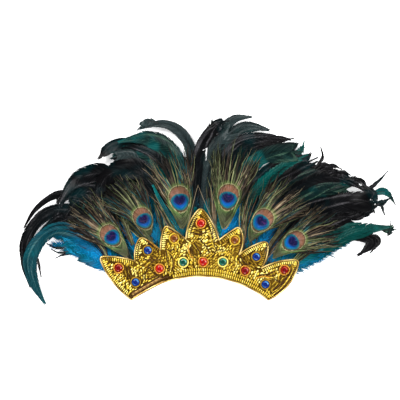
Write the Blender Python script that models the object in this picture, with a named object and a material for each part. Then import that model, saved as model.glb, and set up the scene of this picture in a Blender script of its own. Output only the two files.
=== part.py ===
"""Peacock and cock-tail feather headdress, lying face up on a table.

The crown is a stiff gold panel of two walls, closed along its lower edge and open along its
peaks. The quills of the feathers stand in that pocket and fan out past the peaks. A gold
cord edges the panel, and fourteen cut stones sit on it, each inside a sewn cord ring.
Metres, +Z up: +Y runs from the wearer's brow to the feather tips, and the origin is on the
back face of the crown, behind the middle of its band.
"""

from math import cos, hypot, pi, radians, sin

import bmesh
import bpy
import numpy as np

MM = 0.001

# Crown panel, in millimetres
BAND_HALF_CHORD = 106.0
BAND_SAG = 37.0
BAND_TOP_Y = -22.0
BAND_HEIGHT = 20.0
BACK_WALL = 1.8
POCKET = 3.4
FRONT_WALL = 2.4
CROWN_TOP = BACK_WALL + POCKET + FRONT_WALL
BAND_RADIUS = BAND_HALF_CHORD**2 / (2 * BAND_SAG) + BAND_SAG / 2
BAND_CENTRE_Y = BAND_TOP_Y - BAND_RADIUS
BAND_STEPS = 18
FLANK_STEPS = 5
TIP_REACH = 7.0
TIP_STEPS = 3
GAP = 0.3

# Each peak from left to right: a point on its rising flank, its tip, a point on its
# falling flank, and the notch or corner that follows
PEAK_COLUMNS = "name rise_x rise_y tip_x tip_y fall_x fall_y foot_x foot_y"
PEAKS = (
    ("horn_left", -134, -32.7, -156.8, 8.4, -124, 7, -101, 1.5),
    ("side_left", -100, 23, -92, 40, -77.5, 31, -61, 18.5),
    ("inner_left", -60, 38, -53.5, 58, -37, 47.3, -22, 35.5),
    ("centre", -16, 61, 1.5, 85, 18.3, 61.5, 29.5, 34),
    ("inner_right", 46, 46, 61.5, 56, 66.5, 33, 60.5, 11),
    ("side_right", 81, 24.5, 104.5, 33, 104.5, 13, 95, -10),
    ("horn_right", 122.5, 0.8, 154, 3.6, 140.5, -31.5, 106, -59),
)
LEFT_CORNER = (-106.0, -59.0)

# The pocket stops short of the band and of the two seams that run up to the horns
POCKET_HALF_ANGLE = 34.5
SEAM_END_X = 166.0
SEAM_END_Y = -10.0
POCKET_REACH = 130.0

# Cord along the edge, cord rings and stones
CORD_RADIUS = 1.1
CORD_SIDES = 6
STONE_SIDES = 12
STONE_RADIUS = 6.1
RING_RADIUS = 7.5
RING_CORD = 1.0
RING_STEPS = 16
RING_SIDES = 5
STONE_PROFILE = ((0.94, 0.0), (1.0, 0.7), (0.78, 2.6), (0.46, 3.7))
STONE_COLUMNS = "name x y colour"
STONES = (
    ("peak_centre", 1.5, 60, "red"),
    ("peak_left_1", -40, 36.5, "amber"),
    ("peak_right_1", 54, 34, "amber"),
    ("peak_left_2", -81, 18, "blue"),
    ("peak_right_2", 87.5, 8, "blue"),
    ("horn_left", -126.5, -9.5, "red"),
    ("horn_right", 131, -12.5, "red"),
    ("band_centre", 5, 0, "red"),
    ("band_left_1", -26, -0.5, "green"),
    ("band_right_1", 35.5, 0, "green"),
    ("band_left_2", -63, -10.5, "red"),
    ("band_right_2", 70, -13.5, "red"),
    ("corner_left", -100, -31.5, "blue"),
    ("corner_right", 101.5, -35, "blue"),
)

# Feathers are laid out in plan units from the origin. A root is an angle along the pocket,
# clockwise from its middle. Widths and lifts are in millimetres. Higher layers lie on top.
PLAN_UNIT = 1.55
ROOT_RADIUS = BAND_RADIUS + BAND_HEIGHT + 4.0
QUILL_Z = BACK_WALL + POCKET / 2
QUILL_HALF_WIDTH = 0.8
SHAFT_HALF = 0.9
VANE_HALF = 0.35
LAYER_STEP = 3.0
COQUE_STEPS = 16
LIFT_FROM = 0.6
VANE_SWELL = 0.22
VANE_END = 1.12

# Distances from the roots, in millimetres: where the layers part, and where the whole bed
# of feathers arches up and comes down again
LAYERS_FROM = 74.0
LAYERS_TO = 116.0
BED_RISE = 16.0
BED_RISE_FROM = 100.0
BED_RISE_TO = 165.0
BED_FALL = 17.5
BED_FALL_FROM = 145.0
BED_FALL_TO = 235.0
COQUE_COLUMNS = "name root a_u a_v b_u b_v c_u c_v tip_u tip_v width full_from full_to layer lift"
COQUES = (
    ("left_1", -33.3, -109, 18, -142, 33, -167, 7, -155, -41, 19, 0.38, 0.75, 1, 6),
    ("left_2", -31.3, -105, 42, -146, 51, -173, 20, -169, -27, 19, 0.40, 0.70, 0, 0),
    ("left_3", -27.0, -92, 50, -138, 66, -163, 50, -175, 33, 12, 0.40, 0.70, 1, 1),
    ("left_4", -25.2, -74, 70, -95, 88.5, -121, 81.5, -139, 57, 28, 0.35, 0.75, 2, 5),
    ("left_5", -19.2, -42, 68, -61.5, 88.5, -90, 86, -105, 56, 25, 0.40, 0.80, 3, 4),
    ("left_6", -16.0, -33, 78, -52, 102, -73, 106, -89, 103, 24, 0.40, 0.95, 0, 0),
    ("left_7", -13.5, -28, 88, -52, 112, -84, 116, -103, 101, 17, 0.45, 0.80, 1, 1),
    ("left_8", -7.8, -19, 88, -30, 113, -52, 124, -80, 118, 27, 0.45, 0.75, 2, 5),
    ("left_9", -5.5, -7, 92, -12, 119, -32, 138, -62, 133, 14, 0.50, 0.75, 0, 8),
    ("mid_1", -3.0, -4, 85, 0, 112, 10, 129, 21, 140, 18, 0.45, 0.90, 3, 10),
    ("mid_2", -0.7, 5, 85, 11, 110, 19, 124, 31, 137, 18, 0.50, 0.75, 2, 3),
    ("mid_3", 1.6, 9, 88, 19, 119, 35, 142, 52, 143, 14, 0.50, 0.75, 1, 4),
    ("mid_4", 4.0, 14, 85, 24, 116, 42, 134, 69, 132, 17, 0.50, 0.85, 0, 2),
    ("mid_5", 6.5, 20, 85, 36, 115, 61, 124, 92, 122, 29, 0.45, 0.65, 2, 8),
    ("right_1", 11.8, 34, 72, 53, 97, 78, 109, 105, 110, 29, 0.40, 0.95, 1, 4),
    ("right_2", 15.4, 46, 60, 62, 83, 83, 98, 106, 107, 26, 0.35, 0.80, 0, 0),
    ("right_3", 18.0, 58, 58, 78, 77, 111, 97, 121, 112, 13, 0.40, 0.70, 2, 12),
    ("right_4", 24.0, 68, 48, 98, 76, 130, 88.5, 166, 70, 27, 0.40, 0.65, 1, 3),
    ("right_5", 26.5, 82, 46, 114, 66, 139, 74, 161, 80, 21, 0.40, 0.70, 0, 0),
    ("right_6", 29.0, 88, 34, 120, 54, 153, 60, 184, 60, 31, 0.35, 0.90, 2, 8),
    ("right_7", 31.0, 102, 14, 146, 24, 177, 20, 159, 6, 14, 0.50, 0.85, 0, 0),
    ("right_8", 33.0, 99, -4, 128, 15, 160, 31, 193, 37, 20, 0.38, 0.75, 1, 5),
)

# Peacock eyes: the eye's middle and its heading, anticlockwise from +X
EYE_RISE = 9.5
EYE_RISE_RUN = 34.0
EYE_TIP_RISE = 18.0
EYE_TIP_FROM = -10.0
EYE_LEVEL = 3.5
EYE_STEPS = 9
FAN_STEPS = 28
FAN_SHIFT = 12.0
FAN_BACK = 36.0
FAN_SIDE = 33.0
FAN_FRONT = 60.0
FAN_LOCKS = 7
FAN_LOCK_DEPTH = 0.11
FAN_INNER = 0.45
QUILL_SIDES = 6
EYE_COLUMNS = "name root u v heading size exit level"
EYES = (
    ("left_1", -29.2, -88, 25, 132, 0.95, 43, 0),
    ("left_2", -20.3, -56, 42, 119, 0.92, 26, 1),
    ("left_3", -10.8, -20, 61, 99, 1.05, 48, 0),
    ("right_1", 9.2, 28, 63, 82, 1.05, 52, 0),
    ("right_2", 21.0, 61, 40, 52, 1.00, 36, 1),
    ("right_3", 30.0, 92, 20, 30, 0.95, 40, 0),
)

# Slot, base colour, metallic, roughness
MATERIAL_COLUMNS = "slot red green blue metallic roughness"
MATERIALS = (
    ("gold_lame", 0.72, 0.47, 0.12, 0.8, 0.38),
    ("gold_cord", 0.85, 0.66, 0.28, 0.7, 0.42),
    ("stone_red", 0.45, 0.01, 0.01, 0.0, 0.06),
    ("stone_amber", 0.65, 0.24, 0.02, 0.0, 0.06),
    ("stone_blue", 0.01, 0.05, 0.45, 0.0, 0.06),
    ("stone_green", 0.0, 0.25, 0.18, 0.0, 0.06),
    ("coque_black", 0.012, 0.016, 0.02, 0.1, 0.35),
    ("coque_teal", 0.0, 0.08, 0.1, 0.2, 0.35),
    ("peacock", 0.12, 0.14, 0.03, 0.3, 0.4),
)
TEAL_COQUES = ("left_1", "mid_3", "right_2", "right_5", "right_8")


def rows(columns, table):
    """Each row of a table as a dict with the names of its columns."""
    names = columns.split()
    return [dict(zip(names, row)) for row in table]


def smooth(x, low, high):
    """0 below low, 1 above high, with an even S between them."""
    share = np.clip((np.asarray(x, float) - low) / (high - low), 0.0, 1.0)
    return share * share * (3.0 - 2.0 * share)


def through(start, middle, end, steps):
    """Points on the parabola through three points, without the last."""
    start, middle, end = (np.array(p, float) for p in (start, middle, end))
    before = np.linalg.norm(middle - start)
    share = before / (before + np.linalg.norm(end - middle))
    handle = middle - (1 - share) ** 2 * start - share**2 * end
    handle = handle / (2 * share * (1 - share))
    t = (np.arange(steps) / steps)[:, None]
    return (1 - t) ** 2 * start + 2 * t * (1 - t) * handle + t**2 * end


def band_arc(radius, half_angle, steps):
    """Points on an arc about the band's centre, from right to left."""
    angles = np.radians(np.linspace(half_angle, -half_angle, steps + 1))
    return np.column_stack((radius * np.sin(angles), BAND_CENTRE_Y + radius * np.cos(angles)))


def rounded_tip(before, tip, after):
    """A peak's point rounded off, from the last point before it to the first one after it."""
    before = tip + (before - tip) * (TIP_REACH / hypot(*(before - tip)))
    after = tip + (after - tip) * (TIP_REACH / hypot(*(after - tip)))
    t = (np.arange(TIP_STEPS + 1) / TIP_STEPS)[:, None]
    return (1 - t) ** 2 * before + 2 * t * (1 - t) * tip + t**2 * after


def crown_outline():
    """The crown's edge, clockwise from its lower left corner."""
    parts = []
    foot = LEFT_CORNER
    for peak in rows(PEAK_COLUMNS, PEAKS):
        tip = np.array((peak["tip_x"], peak["tip_y"]), float)
        next_foot = (peak["foot_x"], peak["foot_y"])
        rise = through(foot, (peak["rise_x"], peak["rise_y"]), tip, FLANK_STEPS)
        fall = through(tip, (peak["fall_x"], peak["fall_y"]), next_foot, FLANK_STEPS)
        rise = rise[np.hypot(*(rise - tip).T) > TIP_REACH * 1.1]
        fall = fall[np.hypot(*(fall - tip).T) > TIP_REACH * 1.1]
        parts += [rise, rounded_tip(rise[-1], tip, fall[0]), fall]
        foot = next_foot
    half_angle = np.degrees(np.arcsin(BAND_HALF_CHORD / BAND_RADIUS))
    parts.append(band_arc(BAND_RADIUS, half_angle, BAND_STEPS)[:-1])
    return np.vstack(parts)


def make_material(slot):
    values = {row["slot"]: row for row in rows(MATERIAL_COLUMNS, MATERIALS)}[slot]
    material = bpy.data.materials.get(slot)
    if material is None:
        material = bpy.data.materials.new(slot)
        material.use_nodes = True
        shader = material.node_tree.nodes["Principled BSDF"]
        colour = (values["red"], values["green"], values["blue"], 1.0)
        shader.inputs["Base Color"].default_value = colour
        shader.inputs["Metallic"].default_value = values["metallic"]
        shader.inputs["Roughness"].default_value = values["roughness"]
    return material


def add_object(name, vertices, faces, slot):
    """A closed mesh object from millimetre vertices, with outward faces."""
    mesh = bpy.data.meshes.new(name)
    mesh.from_pydata([tuple(float(c) * MM for c in v) for v in vertices], [], faces)
    work = bmesh.new()
    work.from_mesh(mesh)
    bmesh.ops.recalc_face_normals(work, faces=work.faces)
    bmesh.ops.triangulate(work, faces=work.faces)
    work.to_mesh(mesh)
    work.free()
    mesh.materials.append(make_material(slot))
    obj = bpy.data.objects.new(name, mesh)
    bpy.context.collection.objects.link(obj)
    return obj


def prism(name, outline, low, high, slot):
    count = len(outline)
    vertices = [(x, y, low) for x, y in outline] + [(x, y, high) for x, y in outline]
    faces = [list(range(count)), list(range(count, 2 * count))]
    for i in range(count):
        j = (i + 1) % count
        faces.append([i, j, count + j, count + i])
    return add_object(name, vertices, faces, slot)


def apply_boolean(obj, tool, operation):
    modifier = obj.modifiers.new("cut", "BOOLEAN")
    modifier.operation = operation
    modifier.solver = "EXACT"
    modifier.object = tool
    bpy.context.view_layer.update()
    graph = bpy.context.evaluated_depsgraph_get()
    result = bpy.data.meshes.new_from_object(obj.evaluated_get(graph))
    obj.modifiers.clear()
    obj.data = result
    bpy.data.objects.remove(tool)


def rings_to_faces(ring_count, sides, closed):
    """Quads between rings of vertices, with end caps unless the rings close on themselves."""
    faces = []
    last = ring_count if closed else ring_count - 1
    for ring in range(last):
        here = ring * sides
        there = (ring + 1) % ring_count * sides
        for k in range(sides):
            n = (k + 1) % sides
            faces.append([here + k, here + n, there + n, there + k])
    if not closed:
        faces.append(list(range(sides)))
        faces.append(list(range((ring_count - 1) * sides, ring_count * sides)))
    return faces


def add_loop_cord(name, path, height, radius, sides, slot):
    """A closed cord of round section along a flat loop of points."""
    count = len(path)
    vertices = []
    for i in range(count):
        before = path[i] - path[i - 1]
        after = path[(i + 1) % count] - path[i]
        before = before / hypot(*before)
        after = after / hypot(*after)
        along = before + after
        along = along / hypot(*along)
        across = np.array((along[1], -along[0]))
        mitre = 1.0 / max(float(np.dot(along, after)), 0.55)
        for k in range(sides):
            angle = 2 * pi * (k + 0.5) / sides
            offset = across * radius * mitre * cos(angle)
            vertices.append((*(path[i] + offset), height + radius * sin(angle)))
    return add_object(name, vertices, rings_to_faces(count, sides, True), slot)


def build_crown():
    outline = crown_outline()
    crown = prism("crown_panel", outline, 0.0, CROWN_TOP, "gold_lame")
    inner = band_arc(BAND_RADIUS + BAND_HEIGHT, POCKET_HALF_ANGLE, BAND_STEPS)
    corners = [(-SEAM_END_X, SEAM_END_Y), (-SEAM_END_X, POCKET_REACH)]
    corners += [(SEAM_END_X, POCKET_REACH), (SEAM_END_X, SEAM_END_Y)]
    pocket_outline = [tuple(p) for p in inner] + corners
    pocket = prism("pocket", pocket_outline, BACK_WALL, BACK_WALL + POCKET, "gold_lame")
    apply_boolean(crown, pocket, "DIFFERENCE")
    cord_height = CROWN_TOP + GAP + CORD_RADIUS
    add_loop_cord("edge_cord", outline, cord_height, CORD_RADIUS, CORD_SIDES, "gold_cord")


def build_stones():
    ring_angles = 2 * pi * np.arange(RING_STEPS) / RING_STEPS
    circle = np.column_stack((np.cos(ring_angles), np.sin(ring_angles))) * RING_RADIUS
    for stone in rows(STONE_COLUMNS, STONES):
        centre = np.array((stone["x"], stone["y"]), float)
        vertices = []
        for level, (share, height) in enumerate(STONE_PROFILE):
            for k in range(STONE_SIDES):
                angle = 2 * pi * (k + 0.5 * (level // 2)) / STONE_SIDES
                x = centre[0] + STONE_RADIUS * share * cos(angle)
                y = centre[1] + STONE_RADIUS * share * sin(angle)
                vertices.append((x, y, CROWN_TOP + GAP + height))
        faces = rings_to_faces(len(STONE_PROFILE), STONE_SIDES, False)
        add_object("stone_" + stone["name"], vertices, faces, "stone_" + stone["colour"])
        height = CROWN_TOP + GAP + RING_CORD
        name = "ring_" + stone["name"]
        add_loop_cord(name, centre + circle, height, RING_CORD, RING_SIDES, "gold_cord")


def spline(points, count):
    """Evenly spread points on the natural cubic spline through some points."""
    points = np.array(points, float)
    knots = np.concatenate(([0.0], np.cumsum(np.linalg.norm(np.diff(points, axis=0), axis=1))))
    size = len(points)
    spans = np.diff(knots)
    matrix = np.eye(size)
    right = np.zeros_like(points)
    for i in range(1, size - 1):
        matrix[i, i - 1] = spans[i - 1]
        matrix[i, i] = 2 * (spans[i - 1] + spans[i])
        matrix[i, i + 1] = spans[i]
        slopes = (points[i + 1] - points[i]) / spans[i] - (points[i] - points[i - 1]) / spans[i - 1]
        right[i] = 6 * slopes
    bends = np.linalg.solve(matrix, right)
    fine = np.linspace(0, knots[-1], 40 * count)
    cell = np.clip(np.searchsorted(knots, fine, side="right") - 1, 0, size - 2)
    ahead = (knots[cell + 1] - fine)[:, None]
    behind = (fine - knots[cell])[:, None]
    span = spans[cell][:, None]
    curve = bends[cell] * ahead**3 / (6 * span) + bends[cell + 1] * behind**3 / (6 * span)
    curve += (points[cell] / span - bends[cell] * span / 6) * ahead
    curve += (points[cell + 1] / span - bends[cell + 1] * span / 6) * behind
    length = np.concatenate(([0.0], np.cumsum(np.linalg.norm(np.diff(curve, axis=0), axis=1))))
    even = np.linspace(0, length[-1], count)
    return np.column_stack([np.interp(even, length, curve[:, k]) for k in (0, 1)])


def root_point(angle):
    turn = radians(angle)
    return (ROOT_RADIUS * sin(turn), BAND_CENTRE_Y + ROOT_RADIUS * cos(turn))


def from_pocket(points):
    """Distance of plan points from the arc that the roots stand on."""
    return np.hypot(points[:, 0], points[:, 1] - BAND_CENTRE_Y) - ROOT_RADIUS


def bed_height(distance):
    """Height of the lowest layer: level in the pocket, an arch beyond it, down at the tips."""
    rise = BED_RISE * smooth(distance, BED_RISE_FROM, BED_RISE_TO)
    return QUILL_Z + rise - BED_FALL * smooth(distance, BED_FALL_FROM, BED_FALL_TO)


def coque_height(feather, plan, share):
    """Height of a cock's tail feather at plan points, so that its vanes lie on the bed."""
    distance = from_pocket(plan)
    layer = LAYER_STEP * feather["layer"] * smooth(distance, LAYERS_FROM, LAYERS_TO)
    return bed_height(distance) + layer + feather["lift"] * smooth(share, LIFT_FROM, 1.0)


def coque_path(feather, count):
    """Centre line in plan, share of length, and half-width of a cock's tail feather."""
    points = [root_point(feather["root"])]
    for key in ("a", "b", "c", "tip"):
        points.append((feather[key + "_u"] * PLAN_UNIT, feather[key + "_v"] * PLAN_UNIT))
    plan = spline(points, count)
    share = np.linspace(0, 1, count)
    start, end = feather["full_from"], feather["full_to"]
    swell = smooth(share, start - VANE_SWELL, start + 0.08)
    taper = 1.0 - smooth(share, end, VANE_END) ** 0.8
    half = feather["width"] / 2 * swell * taper
    return plan, share, np.maximum(half, QUILL_HALF_WIDTH)


def build_coque(feather):
    plan, share, half = coque_path(feather, COQUE_STEPS)
    flat = np.gradient(plan, axis=0)
    flat = flat / np.linalg.norm(flat, axis=1)[:, None]
    across = np.column_stack((-flat[:, 1], flat[:, 0])) * half[:, None]
    shaft = SHAFT_HALF * (1.0 - 0.5 * share**2)
    columns = ((1, VANE_HALF, 0), (0, 0, 1), (-1, VANE_HALF, 0))
    columns += ((-1, -VANE_HALF, 0), (0, 0, -1), (1, -VANE_HALF, 0))
    ring = []
    for side, vane, middle in columns:
        point = plan + side * across
        height = coque_height(feather, point, share) + vane + middle * shaft
        ring.append(np.column_stack((point, height)))
    vertices = np.stack(ring, axis=1).reshape(-1, 3)
    slot = "coque_teal" if feather["name"] in TEAL_COQUES else "coque_black"
    add_object("coque_" + feather["name"], vertices, rings_to_faces(len(plan), 6, False), slot)


def fan_outline(size):
    """Local outline of a peacock eye: a broad oval whose far edge parts into locks."""
    points = []
    for k in range(FAN_STEPS):
        angle = 2 * pi * k / FAN_STEPS
        forward = FAN_FRONT if cos(angle) > 0 else FAN_BACK
        x = forward * cos(angle)
        y = FAN_SIDE * sin(angle)
        lock = FAN_LOCK_DEPTH * (0.5 + 0.5 * cos(angle)) * (cos(angle * FAN_LOCKS * 2) - 1.0)
        points.append((FAN_SHIFT + size * x * (1 + lock), size * y * (1 + lock)))
    return points


def build_eye(feather):
    turn = radians(feather["heading"])
    along = np.array((cos(turn), sin(turn)))
    root = np.array(root_point(feather["root"]))
    middle = np.array((feather["u"], feather["v"])) * PLAN_UNIT
    reach = np.linalg.norm(middle - root)
    handle = middle - along * reach * 0.5

    def place(x, y, z):
        """Local millimetres, with x from the eye's middle, onto the bent shaft."""
        t = min(1.0 + x / reach, 1.0)
        point = (1 - t) ** 2 * root + 2 * t * (1 - t) * handle + t**2 * middle
        tangent = 2 * (1 - t) * (handle - root) + 2 * t * (middle - handle)
        tangent = tangent / hypot(*tangent)
        side = np.array((-tangent[1], tangent[0]))
        point = point + tangent * max(x, 0.0) + side * y
        top = EYE_RISE + EYE_LEVEL * feather["level"]
        rise = top * smooth(x, -feather["exit"], EYE_RISE_RUN - feather["exit"])
        rise += EYE_TIP_RISE * smooth(x, EYE_TIP_FROM, FAN_SHIFT + FAN_FRONT)
        return (point[0], point[1], QUILL_Z + float(rise) + z)

    outline = fan_outline(feather["size"])
    inner = [(FAN_INNER * (x - FAN_SHIFT) + FAN_SHIFT, FAN_INNER * y) for x, y in outline]
    rings = [(outline, VANE_HALF), (inner, SHAFT_HALF), (inner, -SHAFT_HALF), (outline, -VANE_HALF)]
    fan = [(x, y, z) for ring, z in rings for x, y in ring]
    fan_faces = rings_to_faces(len(rings), FAN_STEPS, True)
    top_start, low_start = FAN_STEPS, 2 * FAN_STEPS
    fan_faces = [f for f in fan_faces if not (top_start <= min(f) < low_start <= max(f))]
    fan_faces.append(list(range(top_start, top_start + FAN_STEPS)))
    fan_faces.append(list(range(low_start, low_start + FAN_STEPS)))
    name = "peacock_" + feather["name"]
    obj = add_object(name, fan, fan_faces, "peacock")
    quill = []
    for x in np.linspace(-reach, 0.0, EYE_STEPS):
        for k in range(QUILL_SIDES):
            angle = 2 * pi * (k + 0.5) / QUILL_SIDES
            quill.append((x, QUILL_HALF_WIDTH * cos(angle), SHAFT_HALF * sin(angle)))
    tool = add_object("quill", quill, rings_to_faces(EYE_STEPS, QUILL_SIDES, False), "peacock")
    apply_boolean(obj, tool, "UNION")
    for vertex in obj.data.vertices:
        x, y, z = (c / MM for c in vertex.co)
        vertex.co = [c * MM for c in place(x, y, z)]


def main():
    for obj in list(bpy.data.objects):
        bpy.data.objects.remove(obj)
    build_crown()
    build_stones()
    for feather in rows(COQUE_COLUMNS, COQUES):
        build_coque(feather)
    for feather in rows(EYE_COLUMNS, EYES):
        build_eye(feather)


main()
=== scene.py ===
"""The looks of the feather headdress: feathers, embroidered crown, cut stones, floor and light."""

from math import cos, pi, radians, sin

import bpy
import numpy as np
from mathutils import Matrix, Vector


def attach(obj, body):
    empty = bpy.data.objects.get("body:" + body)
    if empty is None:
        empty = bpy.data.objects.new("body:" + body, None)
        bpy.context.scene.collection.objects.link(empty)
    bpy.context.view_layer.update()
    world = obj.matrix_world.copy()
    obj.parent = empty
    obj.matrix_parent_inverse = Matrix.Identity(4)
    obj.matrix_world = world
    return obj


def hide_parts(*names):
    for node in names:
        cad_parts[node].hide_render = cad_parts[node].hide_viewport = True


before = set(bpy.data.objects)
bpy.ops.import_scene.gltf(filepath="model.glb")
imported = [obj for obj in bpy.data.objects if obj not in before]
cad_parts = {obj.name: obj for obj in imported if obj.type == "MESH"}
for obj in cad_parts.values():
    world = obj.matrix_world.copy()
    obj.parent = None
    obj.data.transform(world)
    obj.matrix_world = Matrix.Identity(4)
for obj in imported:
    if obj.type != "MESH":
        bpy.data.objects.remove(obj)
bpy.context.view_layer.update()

MM = 0.001
UP = (0.0, 0.0, 1.0)

# The crown's plan, in millimetres, as in the model's source
BAND_HALF_CHORD = 106.0
BAND_SAG = 37.0
BAND_TOP_Y = -22.0
BAND_HEIGHT = 20.0
BACK_WALL = 1.8
POCKET = 3.4
CROWN_TOP = 7.6
GAP = 0.3
BAND_RADIUS = BAND_HALF_CHORD**2 / (2 * BAND_SAG) + BAND_SAG / 2
BAND_CENTRE_Y = BAND_TOP_Y - BAND_RADIUS
BAND_STEPS = 90
FLANK_STEPS = 30
TIP_REACH = 7.0
TIP_STEPS = 8
PEAK_COLUMNS = "name rise_x rise_y tip_x tip_y fall_x fall_y foot_x foot_y"
PEAKS = (
    ("horn_left", -134, -32.7, -156.8, 8.4, -124, 7, -101, 1.5),
    ("side_left", -100, 23, -92, 40, -77.5, 31, -61, 18.5),
    ("inner_left", -60, 38, -53.5, 58, -37, 47.3, -22, 35.5),
    ("centre", -16, 61, 1.5, 85, 18.3, 61.5, 29.5, 34),
    ("inner_right", 46, 46, 61.5, 56, 66.5, 33, 60.5, 11),
    ("side_right", 81, 24.5, 104.5, 33, 104.5, 13, 95, -10),
    ("horn_right", 122.5, 0.8, 154, 3.6, 140.5, -31.5, 106, -59),
)
LEFT_CORNER = (-106.0, -59.0)
STONE_COLUMNS = "name x y colour"
STONES = (
    ("peak_centre", 1.5, 60, "red"),
    ("peak_left_1", -40, 36.5, "amber"),
    ("peak_right_1", 54, 34, "amber"),
    ("peak_left_2", -81, 18, "blue"),
    ("peak_right_2", 87.5, 8, "blue"),
    ("horn_left", -126.5, -9.5, "red"),
    ("horn_right", 131, -12.5, "red"),
    ("band_centre", 5, 0, "red"),
    ("band_left_1", -26, -0.5, "green"),
    ("band_right_1", 35.5, 0, "green"),
    ("band_left_2", -63, -10.5, "red"),
    ("band_right_2", 70, -13.5, "red"),
    ("corner_left", -100, -31.5, "blue"),
    ("corner_right", 101.5, -35, "blue"),
)

# Feathers, as in the model's source: plan units, then millimetres
PLAN_UNIT = 1.55
ROOT_RADIUS = BAND_RADIUS + BAND_HEIGHT + 4.0
QUILL_Z = BACK_WALL + POCKET / 2
LAYER_STEP = 3.0
LAYERS_FROM = 74.0
LAYERS_TO = 116.0
LIFT_FROM = 0.6
BED_RISE = 16.0
BED_RISE_FROM = 100.0
BED_RISE_TO = 165.0
BED_FALL = 17.5
BED_FALL_FROM = 145.0
BED_FALL_TO = 235.0
VANE_SWELL = 0.22
VANE_FULL = 0.08
VANE_END = 1.12
PATH_COLUMNS = "name root ax ay bx by cx cy tx ty width full_from full_to layer"
COQUES = (
    ("left_1", -33.3, -109, 18, -142.5, 33, -168.5, 7, -154.5, -43, 21, 0.38, 0.75, 1, 6, "teal"),
    ("left_2", -31.3, -105, 42, -146.5, 51, -174.2, 20, -169.5, -27, 19, 0.4, 0.7, 0, 0),
    ("left_3", -27.0, -92, 50, -138.5, 68, -165, 51.5, -176, 33, 11, 0.4, 0.7, 1, 1),
    ("left_4", -25.2, -74, 70, -95, 88.5, -122.3, 82.5, -140, 58, 28, 0.35, 0.75, 2, 5),
    ("left_5", -19.2, -42, 68, -61.5, 88.5, -90, 86, -105, 56, 25, 0.4, 0.8, 3, 4),
    ("left_6", -16.0, -33, 78, -52, 102, -74, 106.5, -90, 102.5, 26, 0.4, 0.95, 0, 0),
    ("left_7", -13.5, -28, 88, -52, 112, -85, 117.3, -102.5, 102, 17, 0.45, 0.92, 1, 1),
    ("left_8", -7.8, -19, 88, -30, 111.2, -54.5, 123.6, -82, 119.5, 27, 0.45, 0.75, 2, 5, "green"),
    ("left_9", -5.5, -7, 92, -12, 119, -32, 137.5, -62, 132.5, 17, 0.5, 0.75, 0, 8, "slate"),
    ("mid_1", -3.0, -4, 85, 0, 112, 10, 129, 21, 140, 18, 0.45, 0.9, 3, 10),
    ("mid_2", -0.7, 5, 85, 11, 110, 19, 124, 31, 137, 18, 0.5, 0.75, 2, 3, "slate"),
    ("mid_3", 1.6, 9, 88, 19, 119.5, 35, 143.2, 53, 145, 15.5, 0.5, 0.8, 1, 4, "slate"),
    ("mid_4", 4.0, 14, 85, 24, 116, 42, 134.3, 70.5, 131.6, 17, 0.5, 0.85, 0, 2, "slate"),
    ("mid_5", 6.5, 20, 85, 36, 115, 61, 124, 92, 122, 29, 0.45, 0.65, 2, 8),
    ("right_1", 11.8, 34, 72, 53, 97, 78, 109, 105, 110, 29, 0.4, 0.95, 1, 4, "green"),
    ("right_2", 15.4, 46, 60, 62, 83, 83, 98, 106, 107, 26, 0.35, 0.8, 0, 0, "teal"),
    ("right_3", 18.0, 58, 58, 78, 77, 105, 94, 118, 101, 13, 0.4, 0.7, 2, 12),
    ("right_4", 24.0, 68, 48, 98, 76, 130, 87.4, 166, 70, 27, 0.4, 0.65, 1, 3),
    ("right_5", 26.5, 82, 46, 114, 66, 139, 74, 161, 80, 21, 0.4, 0.7, 0, 0, "green"),
    ("right_6", 29.0, 88, 34, 120, 54, 153, 60, 184, 60, 31, 0.35, 0.9, 2, 8),
    ("right_7", 31.0, 102, 14, 146, 26, 171.5, 20, 157, 6, 14, 0.5, 0.85, 0, 0),
    ("right_8", 33.0, 99, -4, 128, 15, 160, 31, 192, 35.6, 21.5, 0.38, 0.75, 1, 5, "sea"),
)
EYE_RISE = 9.5
EYE_RISE_RUN = 34.0
EYE_TIP_RISE = 18.0
EYE_TIP_FROM = -10.0
EYE_LEVEL = 3.5
FAN_REACH = 72.0
EYE_COLUMNS = "name root u v heading size exit level"
EYES = (
    ("left_1", -29.2, -88, 25, 132, 0.95, 43, 0),
    ("left_2", -20.3, -56, 42, 119, 0.92, 26, 1),
    ("left_3", -10.8, -20, 61, 99, 1.05, 48, 0),
    ("right_1", 9.2, 28, 63, 82, 1.05, 52, 0),
    ("right_2", 21.0, 61, 40, 52, 1.0, 36, 1),
    ("right_3", 30.0, 92, 20, 30, 0.95, 40, 0),
)


def rows(columns, table, **others):
    """Each row of a table as a dict by column; where a row ends early, others has the rest."""
    names = columns.split()
    return [others | dict(zip(names, row)) for row in table]


def plan_points(row, names="abc"):
    """The points of a table row, from plan units to millimetres."""
    return [np.array((row[name + "x"], row[name + "y"])) * PLAN_UNIT for name in names]


def smooth(x, low, high):
    """0 below low, 1 above high, with an even S between them."""
    share = np.clip((np.asarray(x, float) - low) / (high - low), 0.0, 1.0)
    return share * share * (3.0 - 2.0 * share)


def joined(*values):
    """Numbers or arrays side by side as vectors, spread to a common shape."""
    return np.stack(np.broadcast_arrays(*values), axis=-1)


def raised(points, height):
    """Plan points of any shape (..., 2) with a height each."""
    return joined(points[..., 0], points[..., 1], height)


def unit(vectors):
    """The vectors of an array, each with a length of one."""
    return vectors / np.linalg.norm(vectors, axis=-1)[..., None]


def left_of(ahead):
    """Plan directions turned a quarter to the left."""
    return joined(-ahead[..., 1], ahead[..., 0])


def directions(curve):
    """Directions along a plan curve, and to its left."""
    ahead = unit(np.gradient(curve, axis=0))
    return ahead, left_of(ahead)


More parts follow.
